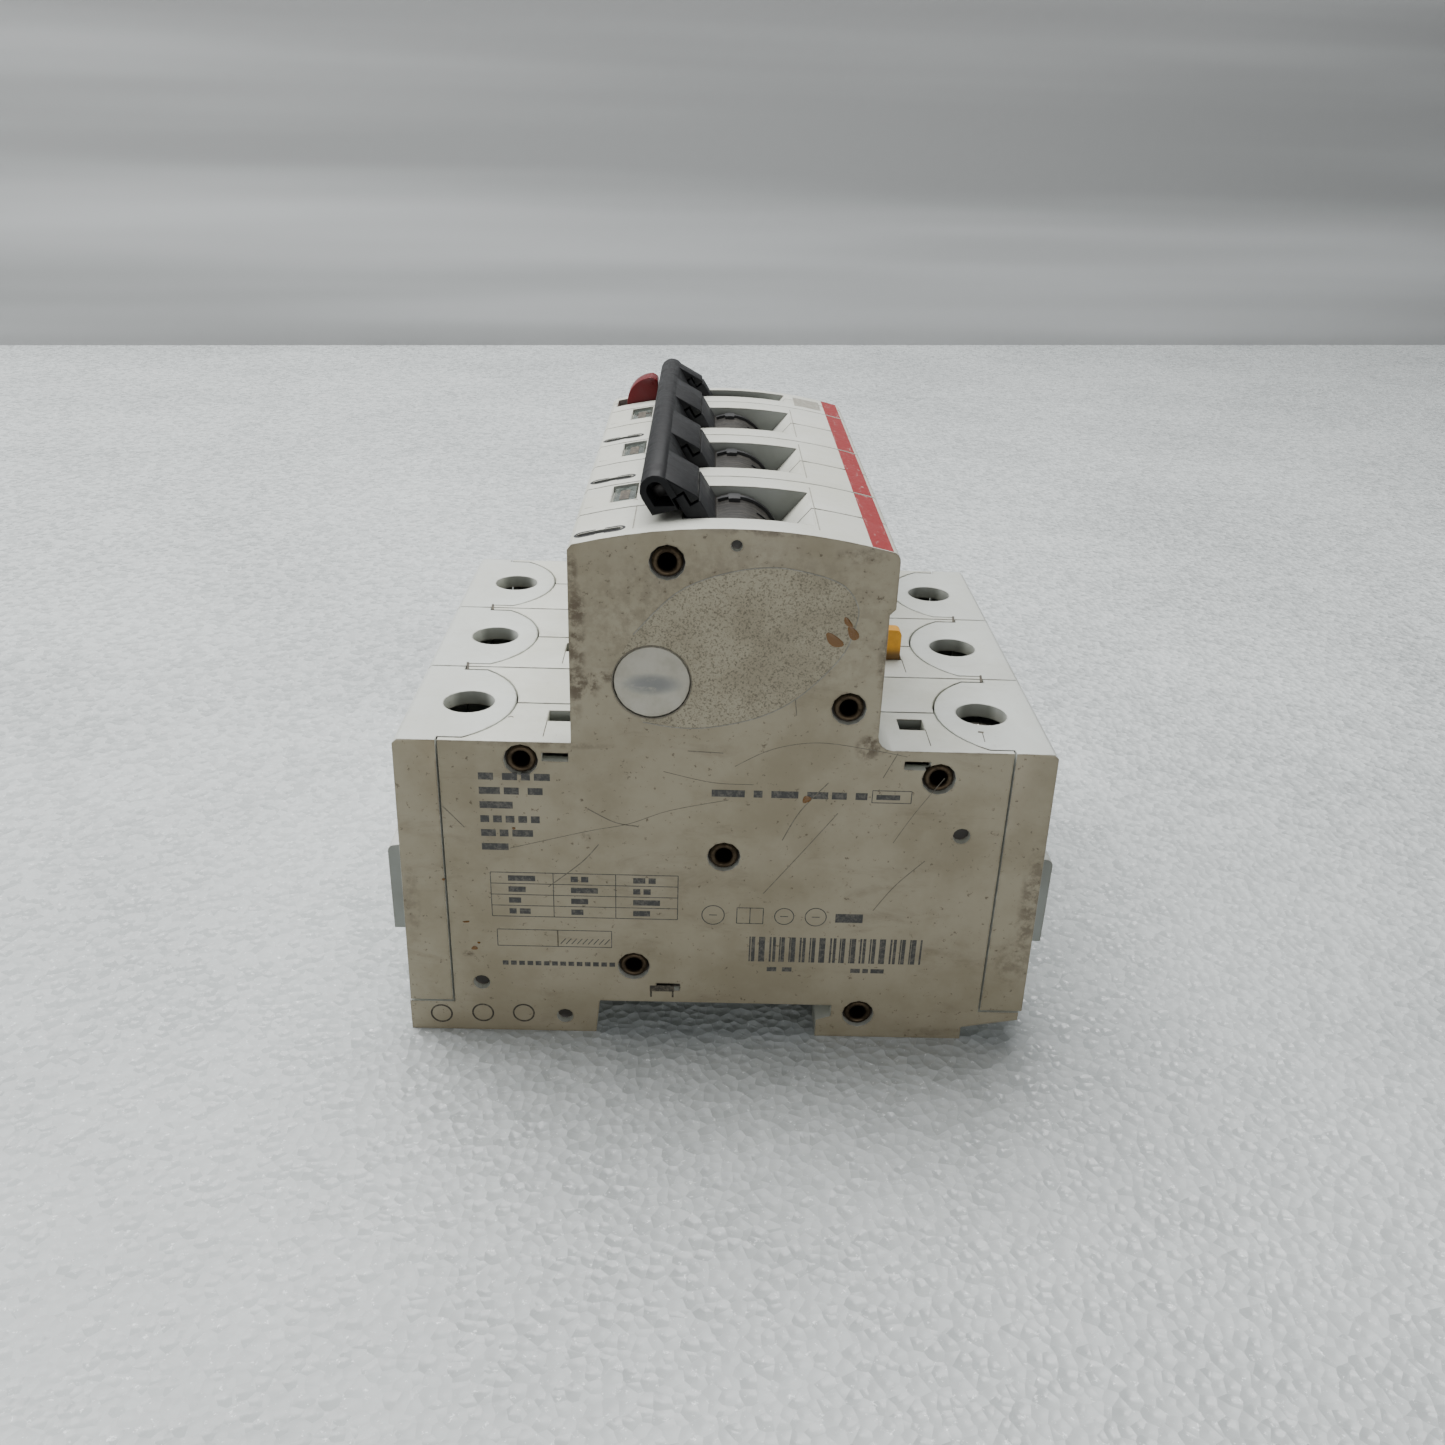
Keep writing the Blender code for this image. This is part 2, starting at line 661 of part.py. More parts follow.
def near_details(shell, mark, pole_near, outer_face, number):
    """The near shell's slot in the front, and on the first pole the details of the open side face."""
    y = pole_near + SLOT_Y
    half = SLOT_LENGTH / 2 - SLOT_WIDTH / 2
    stadium = arc((SLOT_X + half, y), SLOT_WIDTH / 2, -90, 90, 5)
    stadium += arc((SLOT_X - half, y), SLOT_WIDTH / 2, 90, 270, 5)
    low = front_height(SLOT_X) - SLOT_DEPTH
    cut(shell, outline_solid(mark("front slot"), stadium, (low, ARCH_TOP + OVERSHOOT), False))
    if number > 0:
        return
    rivet_counterbores(shell, mark, outer_face, -1)
    front = outer_face - OVERSHOOT
    seat = (front, outer_face + PLUG_RECESS)
    plug_room = PLUG_RADIUS + CLEARANCE
    cut(shell, rod(mark("plug recess"), "Y", (PLUG_X, PLUG_Z), plug_room, seat, sides=DISC_ROUND))
    blind = (front, outer_face + BLIND_DEPTH)
    for index, place in enumerate(PLAIN_HOLES):
        cut(shell, rod(mark(f"plain hole {index}"), "Y", place, PLAIN_HOLE_RADIUS, blind))
    cut(shell, rod(mark("pin hole"), "Y", PIN_HOLE, PIN_HOLE_RADIUS, blind))
    low = SHOULDER_TOP - CLIP_POCKET_DEPTH
    heights = (low, low + CLIP_WINDOW_HEIGHT)
    for side in CLIP_POCKET_INNER:
        depth = (front, pole_near + CLIP_POCKET_NEAR + OVERSHOOT)
        cut(shell, box(mark(f"clip window {side}"), pocket_across(side), depth, heights))
    window = (FOOT_WINDOW_X, FOOT_WINDOW_X + FOOT_WINDOW_LENGTH)
    heights = (FOOT_WINDOW_Z, FOOT_WINDOW_Z + CLIP_WINDOW_HEIGHT)
    cut(shell, box(mark("foot window"), window, blind, heights))


def window_cuts(shell, mark, pole_near):
    """The position window: a seat for the lens, and under it an opening to the flag."""
    far = pole_near + POLE_PITCH - WINDOW_FROM_SEAM
    near = far - WINDOW_LENGTH
    half = WINDOW_WIDTH / 2
    seat_floor = front_height(WINDOW_X + half) - LENS_RECESS - LENS_THICK - CLEARANCE
    seat = (seat_floor, ARCH_TOP + OVERSHOOT)
    cut(shell, box(mark("lens seat"), (WINDOW_X - half, WINDOW_X + half), (near, far), seat))
    opening = (WINDOW_X - half + WINDOW_RIM, WINDOW_X + half - WINDOW_RIM)
    depth = (seat_floor - 2 * TOP_WALL, ARCH_TOP)
    cut(shell, box(mark("flag opening"), opening, (near + WINDOW_RIM, far - WALL), depth))


def window_lens(number):
    far = NEAR + (number + 1) * POLE_PITCH - WINDOW_FROM_SEAM - CLEARANCE
    near = far - WINDOW_LENGTH + 2 * CLEARANCE
    left = WINDOW_X - WINDOW_WIDTH / 2 + CLEARANCE
    right = WINDOW_X + WINDOW_WIDTH / 2 - CLEARANCE
    floor = front_height(WINDOW_X + WINDOW_WIDTH / 2) - LENS_RECESS - LENS_THICK
    top = front_line(right, left, LENS_RECESS, 3)
    outline = [(left, floor), (right, floor), *top]
    return outline_solid(f"pole_{number + 1}_window_lens", outline, (near, far), True, LENS)


# The terminals


def collar_outline():
    """The collar round a wire port, seen from the side, with its upper outer edge rounded."""
    inner = HALF_LENGTH - CAP_WALL / 2
    outer = HALF_LENGTH + CAP_DRAFT + COLLAR
    low = PORT_LOW - COLLAR_RIM
    high = PORT_HIGH + COLLAR_RIM
    centre = (outer - COLLAR_ROUND, high - COLLAR_ROUND)
    return [(inner, low), (outer, low), *arc(centre, COLLAR_ROUND, 0, 90, 4), (inner, high)]


def terminal_cap(number, side):
    """The end of a pole: a hollow cover with a wire entry, and the plate with the screw's access hole."""
    middle = NEAR + (number + 0.5) * POLE_PITCH
    half = POLE_PITCH / 2 - CLEARANCE / 2
    name = f"pole_{number + 1}_" + ("line_cap" if side < 0 else "load_cap")

    def mark(text):
        return f"{name} {text}"

    low = FOOT_TOP + CLEARANCE
    inner = SEAM_X + CLEARANCE / 2
    outline = [
        (inner, low),
        (HALF_LENGTH + CAP_DRAFT, low),
        (HALF_LENGTH, SHOULDER_TOP - CAP_EDGE),
        (HALF_LENGTH - CAP_EDGE, SHOULDER_TOP),
        (inner, SHOULDER_TOP),
    ]
    body = [(side * x, z) for x, z in outline]
    cap = outline_solid(name, body, (middle - half, middle + half), True, CAP)
    hollow_x = (side * (inner - OVERSHOOT), side * (HALF_LENGTH - CAP_WALL))
    hollow_y = (middle - half + CAP_WALL, middle + half - CAP_WALL)
    hollow_z = (low + CAP_WALL, SHOULDER_TOP - PLATE_THICK)
    cut(cap, box(mark("hollow"), hollow_x, hollow_y, hollow_z))
    plate = shift_y(plate_outline(side, 0.0), middle)
    join(cap, outline_solid(mark("plate"), plate, (SHOULDER_TOP - PLATE_THICK, SHOULDER_TOP), False))
    collar_half = PORT_HALF_WIDTH + COLLAR_RIM
    collar = [(side * x, z) for x, z in collar_outline()]
    join(cap, outline_solid(mark("collar"), collar, (middle - collar_half, middle + collar_half), True))
    port_x = (side * (SEAM_X + CLEARANCE), side * (HALF_LENGTH + CAP_DRAFT + COLLAR + OVERSHOOT))
    port_y = (middle - PORT_HALF_WIDTH, middle + PORT_HALF_WIDTH)
    cut(cap, box(mark("wire port"), port_x, port_y, (PORT_LOW, PORT_HIGH)))
    hole = (SHOULDER_TOP - PLATE_THICK - OVERSHOOT, SHOULDER_TOP + OVERSHOOT)
    place = (side * TERMINAL_X, middle)
    cut(cap, rod(mark("screw hole"), "Z", place, SCREW_HOLE_RADIUS, hole, sides=HOLE_ROUND))
    return cap


def head_top(number, side):
    """Height of a terminal screw's head. The first load screw is the one done up tight."""
    return SCREW_HEAD_TOP + (TIGHT_SCREW_RISE if number == 0 and side > 0 else 0.0)


def terminal_screw(number, side):
    middle = NEAR + (number + 0.5) * POLE_PITCH
    name = f"pole_{number + 1}_" + ("line_screw" if side < 0 else "load_screw")
    top = head_top(number, side)
    under = top - SCREW_HEAD_HEIGHT
    x = side * TERMINAL_X
    head = rod(name, "Z", (x, middle), SCREW_HEAD_RADIUS, (under, top), STEEL, sides=ROUND)
    shank = rod(name + " shank", "Z", (x, middle), SCREW_RADIUS, (under - SCREW_LENGTH, under + MM / 2))
    join(head, shank)
    arm = CROSS_SLOT_REACH
    slot = CROSS_SLOT_HALF_WIDTH
    depth = (top - CROSS_SLOT_DEPTH, top + OVERSHOOT)
    cut(head, box(name + " slot one", (x - arm, x + arm), (middle - slot, middle + slot), depth))
    cut(head, box(name + " slot two", (x - slot, x + slot), (middle - arm, middle + arm), depth))
    return pivot_at(head, (x, middle, under))


def clamp_cage(number, side):
    """The steel cage that the screw pulls up under the wire."""
    middle = NEAR + (number + 0.5) * POLE_PITCH
    name = f"pole_{number + 1}_" + ("line_clamp" if side < 0 else "load_clamp")
    x = side * TERMINAL_X
    length = (x - CAGE_HALF_LENGTH, x + CAGE_HALF_LENGTH)
    width = (middle - CAGE_HALF_WIDTH, middle + CAGE_HALF_WIDTH)
    cage = box(name, length, width, (CAGE_LOW, CAGE_HIGH), STEEL)
    inside = (middle - CAGE_HALF_WIDTH + CAGE_WALL, middle + CAGE_HALF_WIDTH - CAGE_WALL)
    through = (length[0] - OVERSHOOT, length[1] + OVERSHOOT)
    cut(cage, box(name + " wire room", through, inside, (CAGE_LOW + CAGE_WALL, CAGE_HIGH - CAGE_ROOF)))
    thread = (CAGE_HIGH - CAGE_ROOF - OVERSHOOT, CAGE_HIGH + OVERSHOOT)
    cut(cage, rod(name + " thread", "Z", (x, middle), SCREW_RADIUS + CLEARANCE, thread))
    return pivot_at(cage, (x, middle, CAGE_LOW))


# The mechanism


def toggle(name, near, width, pin_ends):
    """A hub with its arm and the tongue that the tie bar fits over."""
    arm_length = BAR_BOTTOM - CLEARANCE
    start = math.degrees(math.asin(ARM_RIGHT / HUB_RADIUS))
    end = math.degrees(math.asin(ARM_LEFT / HUB_RADIUS))
    hub = []
    for across, along in arc((0.0, 0.0), HUB_RADIUS, 90 - start, -270 - end, ROUND):
        hub.append(handle_point(across, along))
    arm = [
        handle_point(ARM_LEFT, arm_length - TONGUE_STEP),
        handle_point(ARM_LEFT, arm_length + TONGUE),
        handle_point(ARM_LEFT + TONGUE_THICK, arm_length + TONGUE),
        handle_point(ARM_LEFT + TONGUE_THICK, arm_length),
        handle_point(ARM_RIGHT, arm_length),
    ]
    made = outline_solid(name, hub + arm, (near, near + width), True, HUB)
    join(made, rod(name + " pin", "Y", (HUB_X, HUB_Z), PIN_RADIUS, pin_ends))
    return pivot_at(made, (HUB_X, near + width / 2, HUB_Z))


def socket_outline():
    """The wedge of the tie bar beside its body, over a toggle's arm."""
    inside = BAR_RIGHT - OVERSHOOT
    top = BAR_BOTTOM + WEDGE_HEIGHT
    return [
        handle_point(inside, BAR_BOTTOM),
        handle_point(ARM_RIGHT, BAR_BOTTOM),
        handle_point(ARM_RIGHT, BAR_BOTTOM + WEDGE_LIP),
        handle_point(BAR_RIGHT - 2 * SHY, top),
        handle_point(inside, top),
    ]


def bar_outline(inset):
    """The tie bar's section, with a round top, and a bottom that lies along the front when off."""
    left = BAR_LEFT + inset
    right = BAR_RIGHT - inset
    radius = (right - left) / 2
    centre = ((left + right) / 2, BAR_TOP - inset - radius)
    points = [
        (right, BAR_BOTTOM + inset),
        *arc(centre, radius, 0, 180, 8),
        (left, BAR_BOTTOM + BAR_SLANT + inset),
    ]
    return [handle_point(across, along) for across, along in points]


def toggle_rows():
    """Name, near face, width and pin ends of each toggle."""
    rows = []
    gap = TOGGLE_GAP
    for number in range(POLES):
        near = NEAR + number * POLE_PITCH + OPENING_NEAR + gap
        width = OPENING_WIDTH - 2 * gap
        pin = (near - gap - POCKET_WALL + CLEARANCE, near + width + gap + POCKET_WALL - CLEARANCE)
        rows.append((f"pole_{number + 1}_toggle", near, width, pin))
    near = AUX_NEAR + AUX_OPENING_NEAR + gap
    width = AUX_OPENING_WIDTH - 2 * gap
    pin = (near - gap - POCKET_WALL / 2, near + width + gap + POCKET_WALL / 2)
    rows.append(("aux_toggle", near, width, pin))
    return rows


def tie_bar():
    near = NEAR + BAR_ENDS
    far = -NEAR - BAR_END_FAR
    bar = outline_solid("handle_tie_bar", bar_outline(0.0), (near, far), True, HANDLE)
    for name, toggle_near, width, _ in toggle_rows():
        span = (toggle_near, toggle_near + width)
        join(bar, outline_solid(f"bar socket over {name}", socket_outline(), span, True))
        tongue = [
            handle_point(ARM_LEFT - CLEARANCE, BAR_BOTTOM - OVERSHOOT),
            handle_point(ARM_LEFT + TONGUE_THICK + CLEARANCE, BAR_BOTTOM - OVERSHOOT),
            handle_point(ARM_LEFT + TONGUE_THICK + CLEARANCE, BAR_BOTTOM + TONGUE),
            handle_point(ARM_LEFT - CLEARANCE, BAR_BOTTOM + TONGUE),
        ]
        pocket = (toggle_near - OVERSHOOT, toggle_near + width + OVERSHOOT)
        cut(bar, outline_solid(f"bar pocket over {name}", tongue, pocket, True))
    recess = (near - OVERSHOOT, near + BAR_RECESS)
    cut(bar, outline_solid("bar end recess", bar_outline(BAR_SHELL), recess, True))
    place = handle_point((BAR_LEFT + BAR_RIGHT) / 2, BAR_TOP - END_SCREW_DROP)
    bore = (near + BAR_RECESS - OVERSHOOT, near + BAR_RECESS + END_SCREW_LENGTH + CLEARANCE)
    cut(bar, rod("bar end bore", "Y", place, END_SCREW_RADIUS + CLEARANCE, bore))
    return pivot_at(bar, (HUB_X, (near + far) / 2, HUB_Z))


def end_screw():
    """The small screw in the near end of the tie bar."""
    place = handle_point((BAR_LEFT + BAR_RIGHT) / 2, BAR_TOP - END_SCREW_DROP)
    floor = NEAR + BAR_ENDS + BAR_RECESS - CLEARANCE
    half_head = END_SCREW_HEAD_HEIGHT / 2
    head = rod("handle_end_screw", "Y", place, END_SCREW_HEAD, (floor - 2 * half_head, floor), STEEL)
    shank = (floor - half_head, floor + END_SCREW_LENGTH)
    join(head, rod("end screw shank", "Y", place, END_SCREW_RADIUS, shank))
    return head


def position_flag(number):
    """The coloured sector under the window, on its pivot."""
    pole_near = NEAR + number * POLE_PITCH
    far = pole_near + POLE_PITCH - WALL - 2 * CLEARANCE
    near = far - FLAG_WIDTH
    pivot = (WINDOW_X, FLAG_PIVOT_Z)
    middle = 90 + FLAG_LEAN
    sector = arc(pivot, FLAG_TOP - FLAG_PIVOT_Z, middle - FLAG_HALF_ANGLE, middle + FLAG_HALF_ANGLE, 4)
    base = arc(pivot, FLAG_BOSS, 150, 390, 8)
    flag = outline_solid(f"pole_{number + 1}_position_flag", sector + base, (near, far), True, FLAG)
    return pivot_at(flag, (WINDOW_X, (near + far) / 2, FLAG_PIVOT_Z))


def contact_arm(number):
    """The moving contact, open at rest, with its pivot pin."""
    middle = NEAR + (number + 0.5) * POLE_PITCH
    pivot = (CONTACT_PIVOT_X, CONTACT_PIVOT_Z)
    tip = (pivot[0] - CONTACT_REACH, pivot[1] - CONTACT_DROP)
    outline = [
        *arc(pivot, CONTACT_BOSS, -60, 150, 8),
        (tip[0] + 0.4 * CONTACT_TIP, tip[1] + 0.8 * CONTACT_TIP),
        tip,
        (tip[0] + CONTACT_TIP, tip[1]),
    ]
    half = CONTACT_HALF_WIDTH
    name = f"pole_{number + 1}_contact_arm"
    arm = outline_solid(name, outline, (middle - half, middle + half), True, COPPER)
    reach = POLE_PITCH / 2 - WALL - CLEARANCE * 2
    join(arm, rod(f"contact pin {number}", "Y", pivot, CONTACT_PIN, (middle - reach, middle + reach)))
    return pivot_at(arm, (pivot[0], middle, pivot[1]))


def arc_chute(number):
    """A stack of splitter plates on one back card."""
    middle = NEAR + (number + 0.5) * POLE_PITCH
    outline = [(CHUTE_LEFT, CHUTE_LOW)]
    for plate in range(CHUTE_PLATES):
        low = CHUTE_LOW + plate * CHUTE_PITCH
        high = low + CHUTE_PLATE
        outline += [(CHUTE_RIGHT, low), (CHUTE_RIGHT, high)]
        if plate < CHUTE_PLATES - 1:
            outline += [(CHUTE_LEFT + CHUTE_BACK, high), (CHUTE_LEFT + CHUTE_BACK, low + CHUTE_PITCH)]
    outline.append((CHUTE_LEFT, CHUTE_LOW + (CHUTE_PLATES - 1) * CHUTE_PITCH + CHUTE_PLATE))
    half = POLE_PITCH / 2 - WALL - CHUTE_SIDE_ROOM
    name = f"pole_{number + 1}_arc_chute"
    return outline_solid(name, outline, (middle - half, middle + half), True, STEEL)


def trip_coil(number):
    """The solenoid on its bobbin, with the turns of its winding."""
    middle = NEAR + (number + 0.5) * POLE_PITCH
    flange = COIL_FLANGE
    valley = COIL_RADIUS - COIL_VALLEY
    crest = COIL_RADIUS - COIL_CREST
    half = COIL_LENGTH / 2
    profile = [(0.0, half), (COIL_RADIUS, half), (COIL_RADIUS, half - flange)]
    pitch = (COIL_LENGTH - 2 * flange) / COIL_TURNS
    for turn in range(COIL_TURNS):
        top = half - flange - turn * pitch
        profile.append((valley, top - 0.05 * pitch))
        profile.append((crest, top - 0.35 * pitch))
        profile.append((crest, top - 0.65 * pitch))
    profile += [(valley, flange - half), (COIL_RADIUS, flange - half)]
    profile += [(COIL_RADIUS, -half), (0.0, -half)]
    place = (COIL_LEFT + half, middle, COIL_CENTRE_Z)
    return turned(f"pole_{number + 1}_trip_coil", profile, SMALL_ROUND, "X", place, COIL)


def rail_latch(number):
    """The slider in the left foot. Its tongue holds the rail's edge and its tab stands out of the end."""
    middle = NEAR + (number + 0.5) * POLE_PITCH
    half = LATCH_WIDTH / 2
    low = CLEARANCE
    tab = -HALF_LENGTH - LATCH_TAB
    inner = LEFT_FOOT_X + LATCH_TONGUE
    outline = [
        (tab, low),
        (inner - LATCH_NOSE, low),
        (inner, low + 0.6 * LATCH_THICK),
        (inner, LATCH_THICK + CLEARANCE / 2),
        (tab, LATCH_THICK + CLEARANCE / 2),
    ]
    name = f"pole_{number + 1}_rail_latch"
    latch = outline_solid(name, outline, (middle - half, middle + half), True, LATCH)
    slot_x = (tab + LATCH_SLOT_LENGTH, tab + 2 * LATCH_SLOT_LENGTH)
    slot_y = (middle - half + LATCH_SLOT_WALL, middle + half - LATCH_SLOT_WALL)
    cut(latch, box(name + " driver slot", slot_x, slot_y, (-OVERSHOOT, LATCH_THICK + OVERSHOOT)))
    return pivot_at(latch, (inner, middle, low))


def rivet(index):
    """A tubular rivet with a flange at both ends."""
    x, z = RIVET_PLACES[index]
    near = NEAR + CLEARANCE / 2 + COUNTERBORE_DEPTH - CLEARANCE - RIVET_FLANGE_THICK
    far = AUX_NEAR - CLEARANCE / 2 - COUNTERBORE_DEPTH + CLEARANCE + RIVET_FLANGE_THICK
    half = (far - near) / 2
    profile = [
        (RIVET_BORE, half),
        (RIVET_FLANGE, half),
        (RIVET_FLANGE, half - RIVET_FLANGE_THICK),
        (RIVET_RADIUS, half - RIVET_FLANGE_THICK),
        (RIVET_RADIUS, RIVET_FLANGE_THICK - half),
        (RIVET_FLANGE, RIVET_FLANGE_THICK - half),
        (RIVET_FLANGE, -half),
        (RIVET_BORE, -half),
        (RIVET_BORE, half),
    ]
    return turned(f"rivet_{index + 1}", profile, SMALL_ROUND, "Y", (x, (near + far) / 2, z), BRONZE)


def side_plug():
    front = NEAR + CLEARANCE / 2 + PLUG_SUNK
    back = NEAR + CLEARANCE / 2 + PLUG_RECESS - CLEARANCE
    return rod("side_plug", "Y", (PLUG_X, PLUG_Z), PLUG_RADIUS, (front, back), PLUG, sides=DISC_ROUND)


def clip_tab():
    """The tab that stands in the load shoulder's pocket of one pole."""
    inner, outer = pocket_across(1)
    left = inner + CLEARANCE
    right = outer - CLEARANCE
    low = SHOULDER_TOP - CLIP_POCKET_DEPTH + CLEARANCE
    top = SHOULDER_TOP + TAB_RISE
    outline = [
        (left, low),
        (right, low),
        (right, top - TAB_CHAMFER),
        (right - TAB_CHAMFER, top),
        (left, top),
    ]
    near = NEAR + (TAB_POLE - 1) * POLE_PITCH + CLIP_POCKET_NEAR + CLEARANCE
    return outline_solid("clip_tab", outline, (near, near + TAB_THICK), True, YELLOW)


# The auxiliary module


def aux_outline():
    """The same feet and front as a pole, with narrower and lower shoulders."""
    hook_x = RIGHT_FOOT_X + HOOK_DEPTH
    side = AUX_HALF
    feet = [
        (-side, 0.0),
        (LEFT_FOOT_X, 0.0),
        (LEFT_FOOT_X + FOOT_DRAFT, CEILING),
        (hook_x, CEILING),
        (hook_x, HOOK_LIP),
        (RIGHT_FOOT_X, HOOK_LIP - HOOK_SLOPE),
        (RIGHT_FOOT_X, 0.0),
        (side, 0.0),
    ]
    return feet + block_outline(AUX_SHOULDER, side)


def aux_cavity():
    inner = BLOCK_HALF - AUX_WALL
    end = AUX_HALF - AUX_WALL
    roof = AUX_SHOULDER - AUX_WALL
    return [
        (-end, CEILING + AUX_WALL),
        (end, CEILING + AUX_WALL),
        (end, roof),
        (inner, roof),
        *front_line(inner, -inner, TOP_WALL, 8),
        (-inner, roof),
        (-end, roof),
    ]


def aux_shell(half):
    """One half of the module's housing, on the same pattern as a pole's."""
    middle = AUX_NEAR + AUX_OPENING_NEAR + AUX_OPENING_WIDTH / 2
    outside = -1 if half == 0 else 1
    outer_face = AUX_NEAR + CLEARANCE / 2 if half == 0 else -NEAR - CLEARANCE / 2
    parting = middle + outside * CLEARANCE / 2
    inner_face = outer_face - outside * AUX_WALL
    past = parting - outside * OVERSHOOT
    name = "aux_base_shell" if half == 0 else "aux_cover_shell"
    shell = outline_solid(name, aux_outline(), (outer_face, parting), True, HOUSING)
    cut(shell, outline_solid(name + " cavity", aux_cavity(), (inner_face, past), True))
    wall_face = middle + outside * AUX_OPENING_WIDTH / 2
    if half == 0:
        wall_back = wall_face - POCKET_WALL
        wall_span = (wall_face + CLEARANCE, wall_back)
        join(shell, outline_solid(name + " wall", pocket_wall_outline(), wall_span, True))
    ramp_span = (wall_face + outside * CLEARANCE, parting + outside * SHY)
    join(shell, outline_solid(name + " ramp", ramp_outline(), ramp_span, True))
    cut(shell, outline_solid(name + " opening", opening_outline(), (wall_face, past), True))
    pin_depth = wall_face + outside * (POCKET_WALL / 2 + 2 * CLEARANCE)
    pin = (wall_face - outside * OVERSHOOT, pin_depth)
    cut(shell, rod(name + " pin seat", "Y", (HUB_X, HUB_Z), PIN_RADIUS + CLEARANCE, pin))
    slot_left = LEVER_X - LEVER_RADIUS - LEVER_SLOT_LEFT
    slot_right = LEVER_X + LEVER_RADIUS + LEVER_SLOT_RIGHT
    slot_z = (CORNER_TOP - LEVER_SLOT_DEPTH, ARCH_TOP + OVERSHOOT)
    cut(shell, box(name + " lever slot", (slot_left, slot_right), (wall_face, past), slot_z))
    return shell


def test_lever():
    """The red lever beside the aux toggle: a domed head over a round foot."""
    near = AUX_NEAR + AUX_OPENING_NEAR + TOGGLE_GAP
    width = AUX_OPENING_WIDTH - 2 * TOGGLE_GAP
    dome = arc((LEVER_X, LEVER_TOP - LEVER_RADIUS), LEVER_RADIUS, 0, 180, 8)
    foot = arc((LEVER_X, LEVER_PIVOT_Z), LEVER_FOOT_RADIUS, 180, 360, 6)
    lever = outline_solid("aux_test_lever", dome + foot, (near, near + width), True, RED)
    return pivot_at(lever, (LEVER_X, near + width / 2, LEVER_PIVOT_Z))


def build():
    for number in range(POLES):
        pole_shell(number, 0)
        pole_shell(number, 1)
        for side in (-1, 1):
            terminal_cap(number, side)
            terminal_screw(number, side)
            clamp_cage(number, side)
        window_lens(number)
        position_flag(number)
        contact_arm(number)
        arc_chute(number)
        trip_coil(number)
        rail_latch(number)
    for row in toggle_rows():
        toggle(*row)
    tie_bar()
    end_screw()
    for index in range(len(RIVET_PLACES)):
        rivet(index)
    side_plug()
    clip_tab()
    aux_shell(0)
    aux_shell(1)
    test_lever()


build()
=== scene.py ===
import json
import math

import bmesh
import bpy
from mathutils import Matrix, Vector
from mathutils.geometry import tessellate_polygon

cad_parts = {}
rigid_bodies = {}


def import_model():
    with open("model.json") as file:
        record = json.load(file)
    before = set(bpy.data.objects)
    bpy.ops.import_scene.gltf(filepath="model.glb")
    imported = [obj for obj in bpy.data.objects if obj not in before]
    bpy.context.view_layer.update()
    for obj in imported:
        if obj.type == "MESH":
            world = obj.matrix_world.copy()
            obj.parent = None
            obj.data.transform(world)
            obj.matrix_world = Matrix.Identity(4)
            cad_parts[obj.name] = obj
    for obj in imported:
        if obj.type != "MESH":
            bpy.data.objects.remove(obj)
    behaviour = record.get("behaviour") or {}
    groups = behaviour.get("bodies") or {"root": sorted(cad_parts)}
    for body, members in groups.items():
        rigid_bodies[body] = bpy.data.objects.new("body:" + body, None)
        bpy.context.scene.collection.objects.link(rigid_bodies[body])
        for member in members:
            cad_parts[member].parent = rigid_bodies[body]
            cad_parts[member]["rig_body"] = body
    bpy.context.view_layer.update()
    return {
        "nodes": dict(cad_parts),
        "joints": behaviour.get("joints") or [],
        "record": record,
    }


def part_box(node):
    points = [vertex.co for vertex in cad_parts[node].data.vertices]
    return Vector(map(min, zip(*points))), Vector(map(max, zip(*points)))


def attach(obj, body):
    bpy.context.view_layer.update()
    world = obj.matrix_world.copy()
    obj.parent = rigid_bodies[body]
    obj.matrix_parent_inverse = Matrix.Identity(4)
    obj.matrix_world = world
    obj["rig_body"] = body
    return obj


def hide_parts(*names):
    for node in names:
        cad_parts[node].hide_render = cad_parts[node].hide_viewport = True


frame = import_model()

MM = 0.001
NODES = frame["nodes"]
SLOT_OF = {part["node"]: part["material_slot"] for part in frame["record"]["subparts"]}
POLES = (1, 2, 3)
JOINTS = {joint["name"]: joint for joint in frame["joints"]}

# The row's main sizes, read from the frame
ROW_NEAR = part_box("pole_1_base_shell")[0].y
ROW_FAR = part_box("aux_cover_shell")[1].y
POLE_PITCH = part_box("pole_2_base_shell")[0].y - ROW_NEAR
AUX_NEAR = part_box("aux_base_shell")[0].y
FRONT_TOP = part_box("pole_1_base_shell")[1].z
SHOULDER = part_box("pole_1_line_cap")[1].z
HUB = Vector(JOINTS["handle_hinge"]["pos_m"])
PLUG_LOW, PLUG_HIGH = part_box("side_plug")
PLUG_X = (PLUG_LOW.x + PLUG_HIGH.x) / 2
PLUG_Z = (PLUG_LOW.z + PLUG_HIGH.z) / 2
PLUG_RADIUS = (PLUG_HIGH.x - PLUG_LOW.x) / 2

# Sizes that the frame's boxes don't give
BLOCK_HALF = 22.2 * MM
ARCH_RISE = 2.9 * MM
ARCH_RADIUS = (BLOCK_HALF**2 + ARCH_RISE**2) / (2 * ARCH_RISE)
HUB_RADIUS = 6.4 * MM


def front_height(x):
    """The Z of the arched front at an X."""
    return FRONT_TOP - ARCH_RADIUS + math.sqrt(ARCH_RADIUS**2 - x**2)


def near_of(pole):
    """The Y of a pole's near face."""
    return ROW_NEAR + (pole - 1) * POLE_PITCH


# Materials


